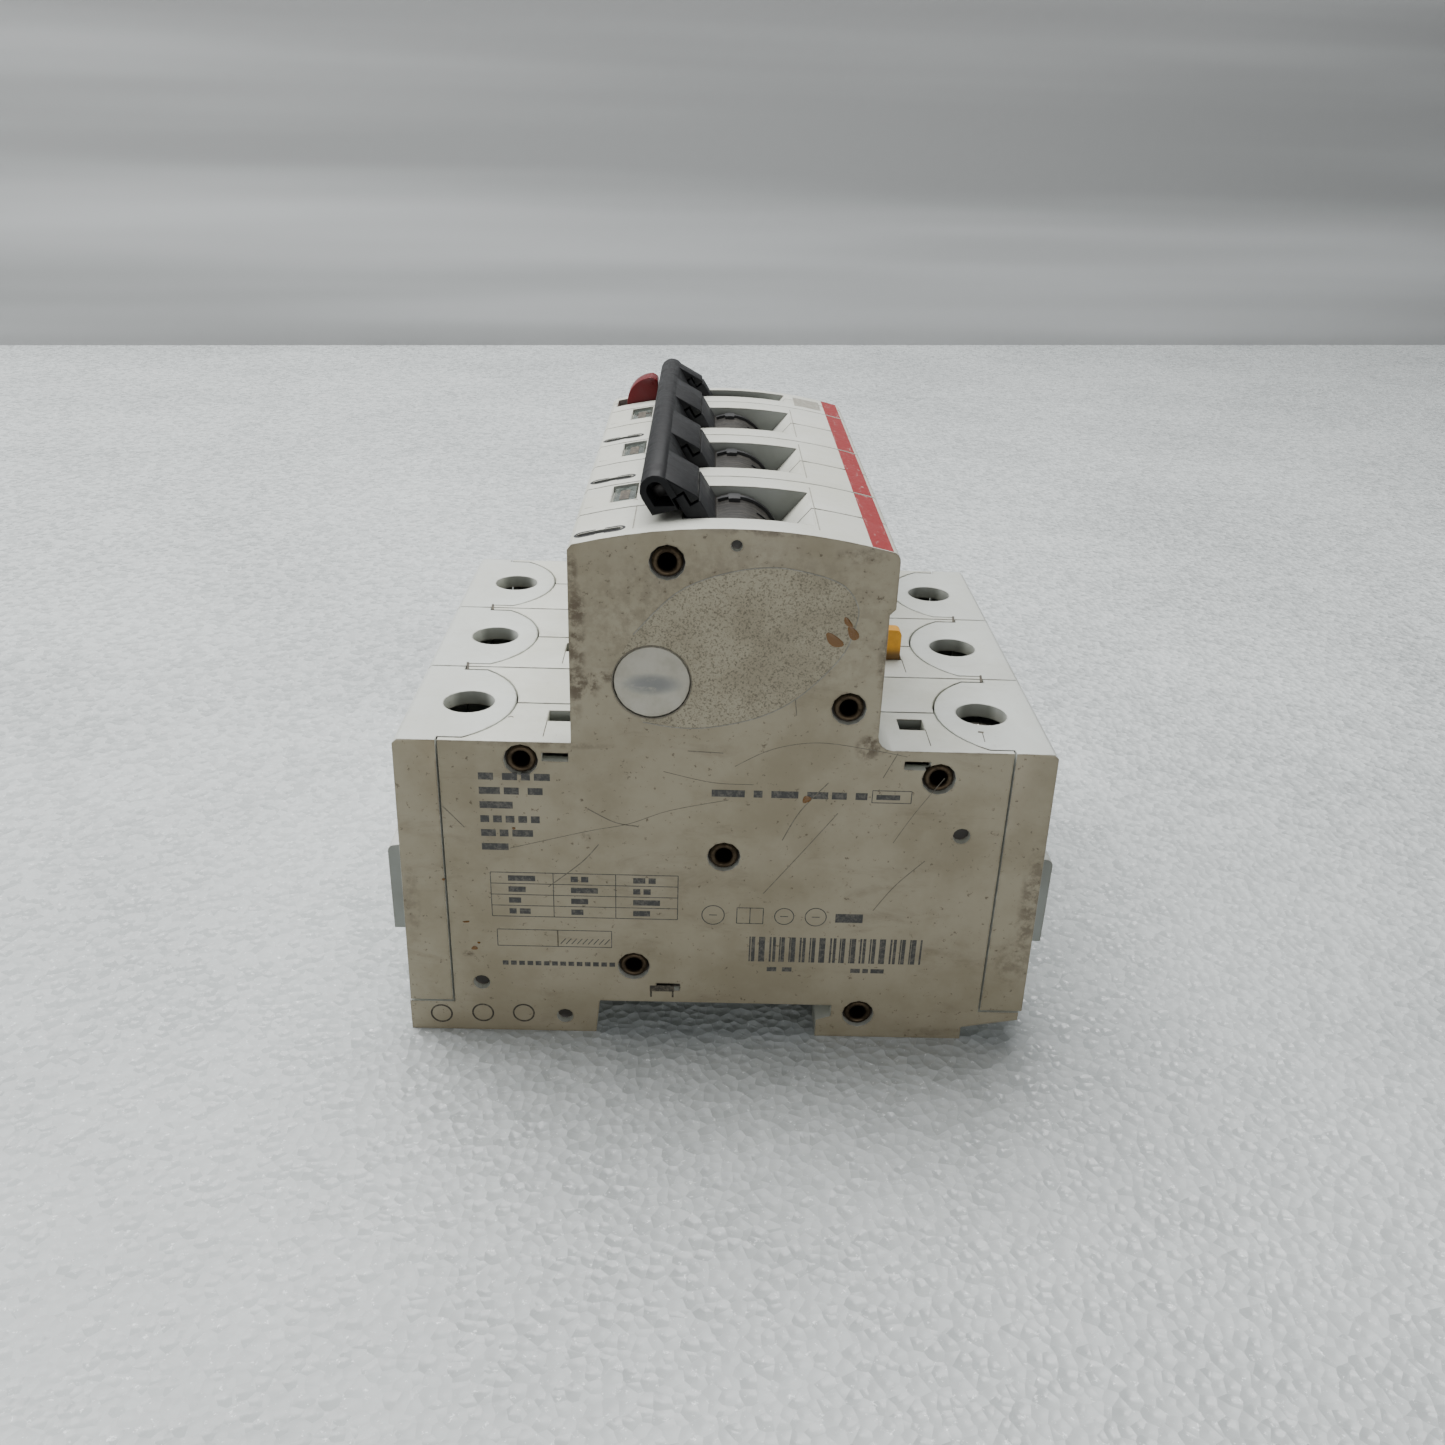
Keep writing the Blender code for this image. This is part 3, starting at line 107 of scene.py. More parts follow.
class Surface:
    """A node material around one Principled shader, with short calls for its nodes."""

    def __init__(self, name, rough=0.5, metal=0.0, coat=0.0, specular=0.5):
        self.material = bpy.data.materials.new(name)
        self.material.use_nodes = True
        self.tree = self.material.node_tree
        self.shader = self.tree.nodes["Principled BSDF"]
        self.shader.inputs["Roughness"].default_value = rough
        self.shader.inputs["Metallic"].default_value = metal
        self.shader.inputs["Coat Weight"].default_value = coat
        self.shader.inputs["Specular IOR Level"].default_value = specular
        self.coordinates = self.tree.nodes.new("ShaderNodeTexCoord")
        self.place = self.coordinates.outputs["Object"]

    def put(self, socket, value):
        if isinstance(value, bpy.types.NodeSocket):
            self.tree.links.new(value, socket)
        elif isinstance(value, tuple) and socket.type == "RGBA":
            socket.default_value = (*value, 1.0)
        else:
            socket.default_value = value

    def noise(self, size, detail=3.0, rough=0.5, stretch=(1, 1, 1), twist=0.0):
        """Soft noise whose blobs measure about size. A stretch below 1 lengthens them along that axis."""
        mapping = self.tree.nodes.new("ShaderNodeMapping")
        mapping.inputs["Scale"].default_value = [s / size for s in stretch]
        self.put(mapping.inputs["Vector"], self.place)
        node = self.tree.nodes.new("ShaderNodeTexNoise")
        node.inputs["Scale"].default_value = 1.0
        node.inputs["Detail"].default_value = detail
        node.inputs["Roughness"].default_value = rough
        node.inputs["Distortion"].default_value = twist
        self.put(node.inputs["Vector"], mapping.outputs[0])
        return node.outputs["Fac"]

    def cells(self, size, output="Distance"):
        node = self.tree.nodes.new("ShaderNodeTexVoronoi")
        node.inputs["Scale"].default_value = 1 / size
        self.put(node.inputs["Vector"], self.place)
        return node.outputs[output]

    def ramp(self, value, low, high, start=0.0, end=1.0):
        """value mapped smoothly from low..high to start..end."""
        node = self.tree.nodes.new("ShaderNodeMapRange")
        node.interpolation_type = "SMOOTHSTEP"
        for name, number in zip(("From Min", "From Max", "To Min", "To Max"), (low, high, start, end)):
            node.inputs[name].default_value = number
        self.put(node.inputs["Value"], value)
        return node.outputs["Result"]

    def maths(self, operation, a, b=0.0):
        node = self.tree.nodes.new("ShaderNodeMath")
        node.operation = operation
        self.put(node.inputs[0], a)
        self.put(node.inputs[1], b)
        return node.outputs[0]

    def times(self, *values):
        result = values[0]
        for value in values[1:]:
            result = self.maths("MULTIPLY", result, value)
        return result

    def mix(self, share, a, b):
        node = self.tree.nodes.new("ShaderNodeMix")
        node.data_type = "RGBA"
        self.put(node.inputs["Factor"], share)
        self.put(node.inputs[6], a)
        self.put(node.inputs[7], b)
        return node.outputs[2]

    def axis(self, letter, source=None):
        node = self.tree.nodes.new("ShaderNodeSeparateXYZ")
        self.put(node.inputs[0], source or self.place)
        return node.outputs[letter]

    def facing(self, letter):
        """How much the surface faces along an axis, from -1 to 1, before bumps."""
        return self.axis(letter, self.coordinates.outputs["Normal"])

    def edge(self, radius):
        """1 near sharp edges and creases, 0 elsewhere."""
        rounded = self.tree.nodes.new("ShaderNodeBevel")
        rounded.samples = 4
        rounded.inputs["Radius"].default_value = radius
        dot = self.tree.nodes.new("ShaderNodeVectorMath")
        dot.operation = "DOT_PRODUCT"
        geometry = self.tree.nodes.new("ShaderNodeNewGeometry")
        self.put(dot.inputs[0], rounded.outputs[0])
        self.put(dot.inputs[1], geometry.outputs["Normal"])
        return self.ramp(dot.outputs["Value"], 0.80, 0.99, 1.0, 0.0)

    def patch(self, x, z, half_x, half_z):
        """1 at a place on the side face, fading to 0 over an ellipse round it."""
        squares = []
        for letter, middle, half in (("X", x, half_x), ("Z", z, half_z)):
            off = self.maths("DIVIDE", self.maths("SUBTRACT", self.axis(letter), middle * MM), half * MM)
            squares.append(self.maths("POWER", self.maths("ABSOLUTE", off), 2.0))
        return self.ramp(self.maths("ADD", *squares), 0.0, 1.0, 1.0, 0.0)

    def bump(self, height, strength, distance):
        node = self.tree.nodes.new("ShaderNodeBump")
        node.inputs["Strength"].default_value = strength
        node.inputs["Distance"].default_value = distance
        self.put(node.inputs["Height"], height)
        self.put(self.shader.inputs["Normal"], node.outputs[0])

    def colour(self, value):
        self.put(self.shader.inputs["Base Color"], value)

    def roughness(self, value):
        self.put(self.shader.inputs["Roughness"], value)


GRIME = (0.115, 0.085, 0.05)
SIDE_CLEAN = (0.362, 0.32, 0.225)
SIDE_DULL = (0.285, 0.246, 0.162)
# Painted shade: the darker grey-green given to side faces inside the row, such as the walls of the toggle
# openings
INSIDE_SHADE_CLEAN = (0.255, 0.27, 0.245)
INSIDE_SHADE_DULL = (0.215, 0.225, 0.20)
# Painted shade on the floors of recesses in the near face
RECESS_SHADE = (0.022, 0.019, 0.016)
RUST = (0.17, 0.078, 0.016)

# Depths in from the row's near or far face between which the side faces' look fades out
NEAR_FACE_FADE = (3.2 * MM, 3.6 * MM)
FAR_FACE_FADE = (1.2 * MM, 0.8 * MM)

# Depths in from the near face between which the painted shade on the floors of its recesses fades in and
# out
RECESS_STARTS = (0.4 * MM, 0.8 * MM)
RECESS_ENDS = (2.0 * MM, 2.4 * MM)

# Brown stains on the side faces: X, Z, half width and half height in mm, and strength
STAINS = (
    (21.8, 64.5, 1.8, 6.0, 0.9),
    (21.4, 53.0, 2.2, 3.5, 0.6),
    (-21.4, 66.0, 1.8, 14.0, 0.9),
    (-20.3, 60.0, 3.2, 2.4, 1.0),
    (-21.0, 71.5, 1.6, 2.4, 0.9),
    (8.0, 83.0, 14.0, 0.9, 0.7),
    (-21.8, 77.0, 1.2, 3.0, 0.8),
    (17.0, 80.0, 4.5, 1.4, 0.6),
    (-26.0, 50.8, 12.0, 0.8, 0.5),
    (-20.2, 36.0, 1.0, 1.5, 0.6),
    (46.8, 26.0, 2.2, 13.0, 0.75),
    (45.5, 15.0, 4.0, 6.0, 0.5),
    (-46.6, 24.0, 1.6, 9.0, 0.4),
    (34.0, 1.2, 8.0, 1.2, 0.3),
    # A wide, weak darkening over the upper middle of the side face
    (0.0, 70.0, 30.0, 15.0, 0.42),
    (-17.6, 61.5, 2.6, 1.1, 0.9),
    (20.0, 51.5, 2.2, 2.6, 0.9),
    (-38.6, 14.6, 1.2, 0.8, 1.0),
)


def pale_plastic(name, clean, dull):
    """Moulded thermoset: clean on the front, beige and stained on the sides, with grimy edges. Side faces
    inside the row and the floors of the near face's recesses get painted shade.
    """
    s = Surface(name, 0.5)
    blotch = s.ramp(s.noise(15 * MM, 5, 0.62), 0.36, 0.68)
    smear = s.ramp(s.noise(7 * MM, 6, 0.7, (0.6, 1, 1.5), 0.5), 0.52, 0.80)
    speck = s.ramp(s.noise(0.8 * MM, 3, 0.65), 0.63, 0.73)
    top = s.mix(blotch, clean, dull)
    top = s.mix(s.times(smear, 0.16), top, GRIME)
    top = s.mix(s.times(speck, 0.25), top, GRIME)
    side = s.mix(blotch, SIDE_CLEAN, SIDE_DULL)
    side = s.mix(s.times(smear, 0.38), side, GRIME)
    side = s.mix(s.times(speck, 0.85), side, GRIME)
    cloud = s.ramp(s.noise(1.6 * MM, 5, 0.7), 0.38, 0.62)
    for x, z, half_x, half_z, strength in STAINS:
        side = s.mix(s.times(s.patch(x, z, half_x, half_z), cloud, strength), side, GRIME)
    facing = s.ramp(s.maths("ABSOLUTE", s.facing("Y")), 0.6, 0.9)
    depth = s.axis("Y")
    near_face = s.ramp(depth, ROW_NEAR + NEAR_FACE_FADE[0], ROW_NEAR + NEAR_FACE_FADE[1], 1.0, 0.0)
    far_face = s.ramp(depth, ROW_FAR - FAR_FACE_FADE[0], ROW_FAR - FAR_FACE_FADE[1])
    outer = s.maths("ADD", near_face, far_face)
    # Painted shade on side faces inside the row, such as the walls of the toggle openings
    inner_shade = s.mix(blotch, INSIDE_SHADE_CLEAN, INSIDE_SHADE_DULL)
    colour = s.mix(facing, top, s.mix(outer, inner_shade, side))
    # Painted shade: the floors of recesses in the near face, such as holes and counterbores, darkened
    sunk = s.ramp(depth, ROW_NEAR + RECESS_STARTS[0], ROW_NEAR + RECESS_STARTS[1])
    shallow = s.ramp(depth, ROW_NEAR + RECESS_ENDS[0], ROW_NEAR + RECESS_ENDS[1], 1.0, 0.0)
    colour = s.mix(s.times(sunk, shallow, facing, 0.97), colour, RECESS_SHADE)
    worn = s.times(s.edge(0.6 * MM), s.ramp(s.noise(2.2 * MM, 4, 0.7), 0.38, 0.58))
    colour = s.mix(s.times(worn, 0.8), colour, GRIME)
    s.colour(colour)
    s.roughness(s.ramp(s.maths("ADD", blotch, smear), 0.0, 1.6, 0.42, 0.68))
    height = s.maths("ADD", s.times(s.noise(0.25 * MM, 3, 0.6), 0.5), s.times(s.noise(4 * MM, 3), 0.5))
    s.bump(height, 0.22, 0.08 * MM)
    return s.material


def plain_plastic(name, base, worn, rough=0.5, wear=0.5, specular=0.5):
    """Coloured moulded plastic with fine grain, faint clouds, dust and paler rubbed edges."""
    s = Surface(name, rough, specular=specular)
    cloud = s.ramp(s.noise(4 * MM, 5, 0.65), 0.35, 0.7)
    colour = s.mix(s.times(cloud, 0.3), base, worn)
    rubbed = s.times(s.edge(0.3 * MM), s.ramp(s.noise(1.2 * MM, 4, 0.7), 0.38, 0.62))
    colour = s.mix(s.times(rubbed, wear), colour, worn)
    dust = s.ramp(s.noise(0.5 * MM, 3, 0.7), 0.62, 0.74)
    colour = s.mix(s.times(dust, 0.3), colour, worn)
    s.colour(colour)
    s.roughness(s.ramp(cloud, 0.0, 1.0, rough - 0.08, rough + 0.12))
    s.bump(s.noise(0.15 * MM, 2, 0.6), 0.25, 0.04 * MM)
    return s.material


def hub_plastic(name):
    """The toggle: a ribbed, dusty drum within the hub's radius, and a dark arm beyond it."""
    s = Surface(name, 0.5, specular=0.25)
    off_x = s.maths("SUBTRACT", s.axis("X"), HUB.x)
    off_z = s.maths("SUBTRACT", s.axis("Z"), HUB.z)
    squared = s.maths("ADD", s.maths("POWER", s.maths("ABSOLUTE", off_x), 2.0), s.times(off_z, off_z))
    reach = s.maths("SQRT", squared)
    beyond = s.ramp(reach, HUB_RADIUS + 0.15 * MM, HUB_RADIUS + 0.5 * MM)
    streak = s.noise(1.0 * MM, 4, 0.7, (0.25, 2.2, 0.25))
    drum = s.mix(s.ramp(streak, 0.42, 0.66), (0.014, 0.013, 0.011), (0.050, 0.045, 0.037))
    grit = s.ramp(s.noise(0.6 * MM, 3, 0.7), 0.6, 0.72)
    drum = s.mix(s.times(grit, 0.45), drum, (0.10, 0.09, 0.072))
    s.colour(s.mix(beyond, drum, (0.008, 0.0085, 0.0095)))
    s.roughness(s.ramp(streak, 0.3, 0.7, 0.42, 0.62))
    ribs = s.maths("SINE", s.times(s.axis("Y"), 2 * math.pi / (1.3 * MM)))
    within = s.maths("SUBTRACT", 1.0, beyond)
    relief = s.times(s.maths("ADD", s.times(ribs, 0.4), streak), within)
    s.bump(s.maths("ADD", relief, s.times(s.noise(0.15 * MM, 2, 0.6), 0.25)), 0.35, 0.12 * MM)
    return s.material


def tab_plastic(name):
    """Yellow plastic, darkened towards the shoulder by painted shade from its pocket."""
    s = Surface(name, 0.45)
    cloud = s.ramp(s.noise(1.5 * MM, 4, 0.65), 0.35, 0.7)
    colour = s.mix(s.times(cloud, 0.4), (0.74, 0.34, 0.006), (0.50, 0.22, 0.01))
    # Painted shade: the tab darkens towards its foot, down in its pocket
    pocket_shade = s.ramp(s.axis("Z"), SHOULDER + 0.6 * MM, SHOULDER + 2.4 * MM, 1.0, 0.0)
    s.colour(s.mix(s.times(pocket_shade, 0.85), colour, (0.06, 0.035, 0.012)))
    s.roughness(s.ramp(cloud, 0.0, 1.0, 0.4, 0.6))
    s.bump(s.noise(0.2 * MM, 2, 0.6), 0.25, 0.04 * MM)
    return s.material


def plain_metal(name, base, dark, rough):
    """Metal with fine brushing and blotches of tarnish, darker at its edges."""
    s = Surface(name, rough, metal=1.0)
    lines = s.noise(0.5 * MM, 3, 0.6, (1, 1, 6))
    tarnish = s.ramp(s.noise(1.6 * MM, 5, 0.7), 0.45, 0.7)
    colour = s.mix(s.times(tarnish, 0.7), base, dark)
    colour = s.mix(s.times(s.edge(0.2 * MM), 0.35), colour, dark)
    s.colour(colour)
    s.roughness(s.ramp(s.maths("ADD", lines, s.times(tarnish, 0.4)), 0.3, 1.0, rough - 0.1, rough + 0.25))
    s.bump(lines, 0.25, 0.03 * MM)
    return s.material


def window_plastic(name):
    """A clear window gone milky over a dark well, streaked and dirty."""
    s = Surface(name, 0.2, coat=0.3)
    cloud = s.ramp(s.noise(2.5 * MM, 5, 0.6), 0.35, 0.7)
    colour = s.mix(cloud, (0.065, 0.078, 0.070), (0.12, 0.14, 0.125))
    streak = s.ramp(s.noise(0.7 * MM, 3, 0.6, (1, 0.15, 1)), 0.55, 0.7)
    colour = s.mix(s.times(streak, 0.3), colour, (0.27, 0.30, 0.275))
    rim = s.edge(0.5 * MM)
    s.colour(s.mix(s.times(rim, 0.6), colour, (0.07, 0.07, 0.06)))
    s.roughness(s.ramp(cloud, 0, 1, 0.15, 0.4))
    s.bump(streak, 0.15, 0.04 * MM)
    return s.material


def plug_plastic(name):
    """The pale round plug with a soft grey smear across its middle."""
    s = Surface(name, 0.45)
    cloud = s.ramp(s.noise(3 * MM, 5, 0.6), 0.35, 0.7)
    colour = s.mix(cloud, (0.50, 0.475, 0.40), (0.42, 0.395, 0.32))
    fuzz = s.ramp(s.noise(1.4 * MM, 4, 0.7, (0.6, 1, 1.6)), 0.24, 0.50)
    middle_z = (PLUG_Z - 0.3 * MM) / MM
    smear = s.times(s.patch(PLUG_X / MM, middle_z, 5.0, 1.9), fuzz)
    s.colour(s.mix(s.times(smear, 0.8), colour, (0.18, 0.19, 0.195)))
    s.roughness(s.ramp(cloud, 0, 1, 0.4, 0.6))
    s.bump(s.noise(0.2 * MM, 3, 0.6), 0.25, 0.05 * MM)
    return s.material


def spark_eroded(name):
    """The rough mould texture in the side face: dark pits in dull grey."""
    s = Surface(name, 0.7)
    pits = s.ramp(s.noise(0.26 * MM, 3, 0.65), 0.50, 0.68)
    fine = s.ramp(s.noise(0.2 * MM, 2, 0.6), 0.55, 0.7)
    cloud = s.ramp(s.noise(6 * MM, 4, 0.6), 0.35, 0.7)
    colour = s.mix(cloud, (0.40, 0.36, 0.262), (0.32, 0.283, 0.20))
    colour = s.mix(s.times(pits, 0.66), colour, (0.085, 0.07, 0.045))
    colour = s.mix(s.times(fine, 0.25), colour, (0.10, 0.085, 0.06))
    s.colour(colour)
    s.bump(s.maths("SUBTRACT", 1.0, pits), 0.6, 0.08 * MM)
    return s.material


def worn_paint(name, paint, under, wear):
    """Printed or painted colour, scratched through to the pale plastic along its length."""
    s = Surface(name, 0.45)
    cloud = s.ramp(s.noise(3 * MM, 5, 0.65), 0.35, 0.7)
    colour = s.mix(s.times(cloud, 0.3), paint, tuple(c * 0.7 for c in paint))
    scratch = s.ramp(s.noise(1.3 * MM, 5, 0.75, (1.6, 0.35, 1), 1.2), 0.60, 0.66)
    s.colour(s.mix(s.times(scratch, wear), colour, under))
    s.roughness(s.ramp(cloud, 0, 1, 0.38, 0.6))
    s.bump(scratch, 0.3, 0.03 * MM)
    return s.material


def dark_fill(name, base, light):
    """Dirt in a groove or ink on the plastic, broken up by specks."""
    s = Surface(name, 0.7)
    s.colour(s.mix(s.ramp(s.noise(0.6 * MM, 4, 0.7), 0.42, 0.7), base, light))
    s.bump(s.noise(0.2 * MM, 2), 0.3, 0.02 * MM)
    return s.material


HOUSING = pale_plastic("housing_plastic", (0.585, 0.595, 0.535), (0.505, 0.51, 0.44))
CAP = pale_plastic("cap_plastic", (0.56, 0.585, 0.55), (0.50, 0.515, 0.47))
HANDLE = plain_plastic("handle_plastic", (0.005, 0.0055, 0.0065), (0.022, 0.022, 0.022), 0.5, specular=0.2)
TOGGLE = hub_plastic("toggle_plastic")
LENS = window_plastic("window_plastic")
FLAG = plain_plastic("flag_plastic", (0.04, 0.22, 0.07), (0.10, 0.30, 0.14), 0.5)
BRONZE = plain_metal("rivet_bronze", (0.075, 0.055, 0.035), (0.018, 0.013, 0.008), 0.42)
STEEL = plain_metal("plated_steel", (0.60, 0.57, 0.50), (0.16, 0.13, 0.09), 0.35)
DARK_STEEL = plain_metal("dark_steel", (0.045, 0.043, 0.042), (0.015, 0.013, 0.011), 0.45)
COPPER = plain_metal("contact_copper", (0.72, 0.36, 0.20), (0.28, 0.13, 0.07), 0.34)
COIL = plain_metal("coil_winding", (0.55, 0.22, 0.09), (0.20, 0.07, 0.03), 0.35)
PLUG = plug_plastic("plug_plastic")
RED = plain_plastic("lever_plastic", (0.12, 0.003, 0.006), (0.19, 0.012, 0.014), 0.35, specular=0.3)
TAB = tab_plastic("tab_plastic")
LATCH = plain_plastic("latch_plastic", (0.30, 0.30, 0.27), (0.20, 0.19, 0.15), 0.55)
ROUGH = spark_eroded("rough_texture")
STRIPE = worn_paint("stripe_paint", (0.25, 0.008, 0.010), (0.50, 0.44, 0.40), 0.6)
INK = dark_fill("printing_ink", (0.055, 0.055, 0.052), (0.14, 0.13, 0.11))
GROOVE = dark_fill("groove_dirt", (0.045, 0.038, 0.028), (0.14, 0.12, 0.085))
FAINT = dark_fill("faint_line", (0.22, 0.21, 0.175), (0.36, 0.35, 0.30))
SCRATCH = dark_fill("scratch", (0.13, 0.115, 0.085), (0.22, 0.195, 0.15))
DROPS = plain_plastic("dried_drops", RUST, (0.22, 0.11, 0.025), 0.35, 0.3)
BLACK = plain_plastic("black_plastic", (0.006, 0.006, 0.007), (0.03, 0.03, 0.03), 0.45)

MATERIAL_OF = {
    "base_shell": HOUSING,
    "cover_shell": HOUSING,
    "cap": CAP,
    "screw": STEEL,
    "clamp": STEEL,
    "toggle": TOGGLE,
    "window_lens": LENS,
    "position_flag": FLAG,
    "contact_arm": COPPER,
    "arc_chute": STEEL,
    "trip_coil": COIL,
    "rail_latch": LATCH,
    "tie_bar": HANDLE,
    "side_plug": PLUG,
    "clip_tab": TAB,
    "test_lever": RED,
}


def material_of(node):
    if node.startswith("rivet"):
        return BRONZE
    if node == "handle_end_screw":
        return DARK_STEEL
    return next(material for ending, material in MATERIAL_OF.items() if node.endswith(ending))


def give(obj, material):
    obj.data.materials.clear()
    obj.data.materials.append(material)


# Mesh helpers

# Angles between faces in degrees: bevelled above the first, and a sharp edge above the second
BEVEL_ANGLE = 28
SHARP_ANGLE = 38


def piece(name, work, material, body="housing", smooth=35, stands_for=()):
    """A finished piece from a bmesh, riding on a body."""
    bmesh.ops.recalc_face_normals(work, faces=work.faces)
    mesh = bpy.data.meshes.new(name)
    work.to_mesh(mesh)
    work.free()
    mesh.shade_smooth()
    mesh.set_sharp_from_angle(angle=math.radians(smooth))
    obj = bpy.data.objects.new(name, mesh)
    bpy.context.scene.collection.objects.link(obj)
    give(obj, material)
    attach(obj, body)
    if stands_for:
        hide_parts(*stands_for)
    return obj


def rounded(obj, width, segments=2):
    """Bevels the object's sharp edges and keeps the result as its mesh."""
    bevel = obj.modifiers.new("rounding", "BEVEL")
    bevel.width = width
    bevel.segments = segments
    bevel.limit_method = "ANGLE"
    bevel.angle_limit = math.radians(BEVEL_ANGLE)
    bevel.use_clamp_overlap = True
    bpy.context.view_layer.update()
    graph = bpy.context.evaluated_depsgraph_get()
    made = bpy.data.meshes.new_from_object(obj.evaluated_get(graph))
    obj.modifiers.clear()
    obj.data = made
    made.shade_smooth()
    made.set_sharp_from_angle(angle=math.radians(SHARP_ANGLE))


def on_side(u, v, w):
    """A place on the near side face: X, Z, and height out of the face."""
    return Vector((u, ROW_NEAR - w, v))


def on_front(u, v, w):
    """A place on the arched front: X, Y, and height above the front."""
    return Vector((u, v, front_height(u) + w))


def on_shoulder(u, v, w):
    return Vector((u, v, SHOULDER + w))


def across(u, v, w):
    """X and Z with Y as the depth."""
    return Vector((u, w, v))


def prism(work, outline, low, high, place):
    """A closed solid between two depths over an outline of (u, v) points, which may be concave."""
    ends = []
    for depth in (low, high):
        ends.append([work.verts.new(place(u, v, depth)) for u, v in outline])
    flat = [Vector((u / MM, v / MM, 0)) for u, v in outline]
    for a, b, c in tessellate_polygon([flat]):
        work.faces.new((ends[0][a], ends[0][b], ends[0][c]))
        work.faces.new((ends[1][c], ends[1][b], ends[1][a]))
    count = len(outline)
    for i in range(count):
        j = (i + 1) % count
        work.faces.new((ends[0][j], ends[0][i], ends[1][i], ends[1][j]))


def rectangle(u0, v0, u1, v1):
    return [(u0, v0), (u1, v0), (u1, v1), (u0, v1)]


def arc(centre, radius, start, end, steps):
    """Points on an arc, angles in degrees."""
    points = []
    for step in range(steps + 1):
        angle = math.radians(start + (end - start) * step / steps)
        points.append((centre[0] + radius * math.cos(angle), centre[1] + radius * math.sin(angle)))
    return points


def ribbon(points, width, closed=False):
    """The outline of a line of that width through points: one outline, or two for a closed line."""
    count = len(points)
    left, right = [], []
    for i, (u, v) in enumerate(points):
        before = points[(i - 1) % count] if closed or i > 0 else points[i]
        after = points[(i + 1) % count] if closed or i < count - 1 else points[i]
        along = Vector((after[0] - before[0], after[1] - before[1])).normalized()
        side = Vector((-along.y, along.x)) * width / 2
        left.append((u + side.x, v + side.y))
        right.append((u - side.x, v - side.y))
    return left, right


def line(work, points, width, low, high, place):
    left, right = ribbon(points, width)
    prism(work, left + right[::-1], low, high, place)


def loop(work, points, width, low, high, place):
    """A closed line, such as a ring."""
    left, right = ribbon(points, width, closed=True)
    rings = []
    for outline, depth in ((left, low), (left, high), (right, high), (right, low)):
        rings.append([work.verts.new(place(u, v, depth)) for u, v in outline])
    count = len(points)
    for a in range(4):
        first, second = rings[a], rings[(a + 1) % 4]
        for i in range(count):
            j = (i + 1) % count
            work.faces.new((first[i], first[j], second[j], second[i]))


def curve_through(points, steps=6):
    """A smooth line through points, by Catmull-Rom."""
    padded = [points[0], *points, points[-1]]
    result = []
    for i in range(1, len(padded) - 2):
        p0, p1, p2, p3 = (Vector(p) for p in padded[i - 1 : i + 3])
        for step in range(steps):
            t = step / steps
            spot = p1 * 2 + (p2 - p0) * t + (p0 * 2 - p1 * 5 + p2 * 4 - p3) * t * t
            spot += (p1 * 3 - p0 - p2 * 3 + p3) * t**3
            result.append((spot.x / 2, spot.y / 2))
    result.append(tuple(points[-1]))
    return result


def mm(points):
    return [(u * MM, v * MM) for u, v in points]


def lathe(work, profile, centre, steps=40):
    """A turned ring about a Y axis through centre, from a closed profile of (radius, depth) points."""
    rows = []
    for step in range(steps):
        angle = 2 * math.pi * step / steps
        row = []
        for radius, depth in profile:
            offset = Vector((radius * math.cos(angle), depth, radius * math.sin(angle)))
            row.append(work.verts.new(centre + offset))
        rows.append(row)
    count = len(profile)
    for step in range(steps):
        first, second = rows[step], rows[(step + 1) % steps]
        for i in range(count):
            j = (i + 1) % count
            work.faces.new((first[i], first[j], second[j], second[i]))


# Copies of the CAD pieces with rounded edges

SAME_PLACE = 0.001 * MM
FLAT_ANGLE = math.radians(0.5)


def softened(node, width):
    """A copy of a CAD piece with clean flats and rounded edges, which stands for it."""
    source = NODES[node]
    work = bmesh.new()
    work.from_mesh(source.data)
    bmesh.ops.remove_doubles(work, verts=work.verts, dist=SAME_PLACE)
    bmesh.ops.dissolve_limit(work, angle_limit=FLAT_ANGLE, verts=work.verts, edges=work.edges)
    bmesh.ops.triangulate(work, faces=work.faces, quad_method="BEAUTY", ngon_method="BEAUTY")
    body, slot = source["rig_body"], SLOT_OF[node]
    made = piece(node + "_soft", work, material_of(node), body, SHARP_ANGLE, (node,))
    rounded(made, width)


# Rounding in mm by the node's kind; a kind that isn't here keeps its CAD mesh
ROUNDING = {
    "base_shell": 0.22,
    "cover_shell": 0.22,
    "cap": 0.22,
    "tie_bar": 0.25,
    "toggle": 0.12,
    "screw": 0.12,
    "clamp": 0.25,
    "window_lens": 0.1,
    "rail_latch": 0.2,
    "side_plug": 0.12,
}

for node in sorted(NODES):
    give(NODES[node], material_of(node))
    width = next((w for ending, w in ROUNDING.items() if node.endswith(ending)), None)
    if width:
        softened(node, width * MM)


# The yellow tab, rubbed down at its top, with painted shade at its foot

TAB_WEAR = 1.7 * MM
TAB_CORNER = 1.0 * MM

low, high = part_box("clip_tab")
tab_top = high.z - TAB_WEAR
outline = [
    (low.x, low.z),
    (high.x, low.z),
    (high.x, tab_top - TAB_CORNER),
    *arc((high.x - TAB_CORNER, tab_top - TAB_CORNER), TAB_CORNER, 0, 90, 6),
    *arc((low.x + TAB_CORNER, tab_top - TAB_CORNER), TAB_CORNER, 90, 180, 6),
]
work = bmesh.new()
prism(work, outline, low.y, high.y, across)
rounded(piece("clip_tab_worn", work, TAB, "housing", SHARP_ANGLE, ("clip_tab",)), 0.25 * MM)


# Rivets: tubes with a rolled flange at each end

RIVETS = range(1, 8)
RIVET_BORE = 0.56
RIVET_BODY = 0.72
LIP_ANGLES = (0.0, 0.6, 1.2, 1.57, 2.0, 2.5, 3.14)


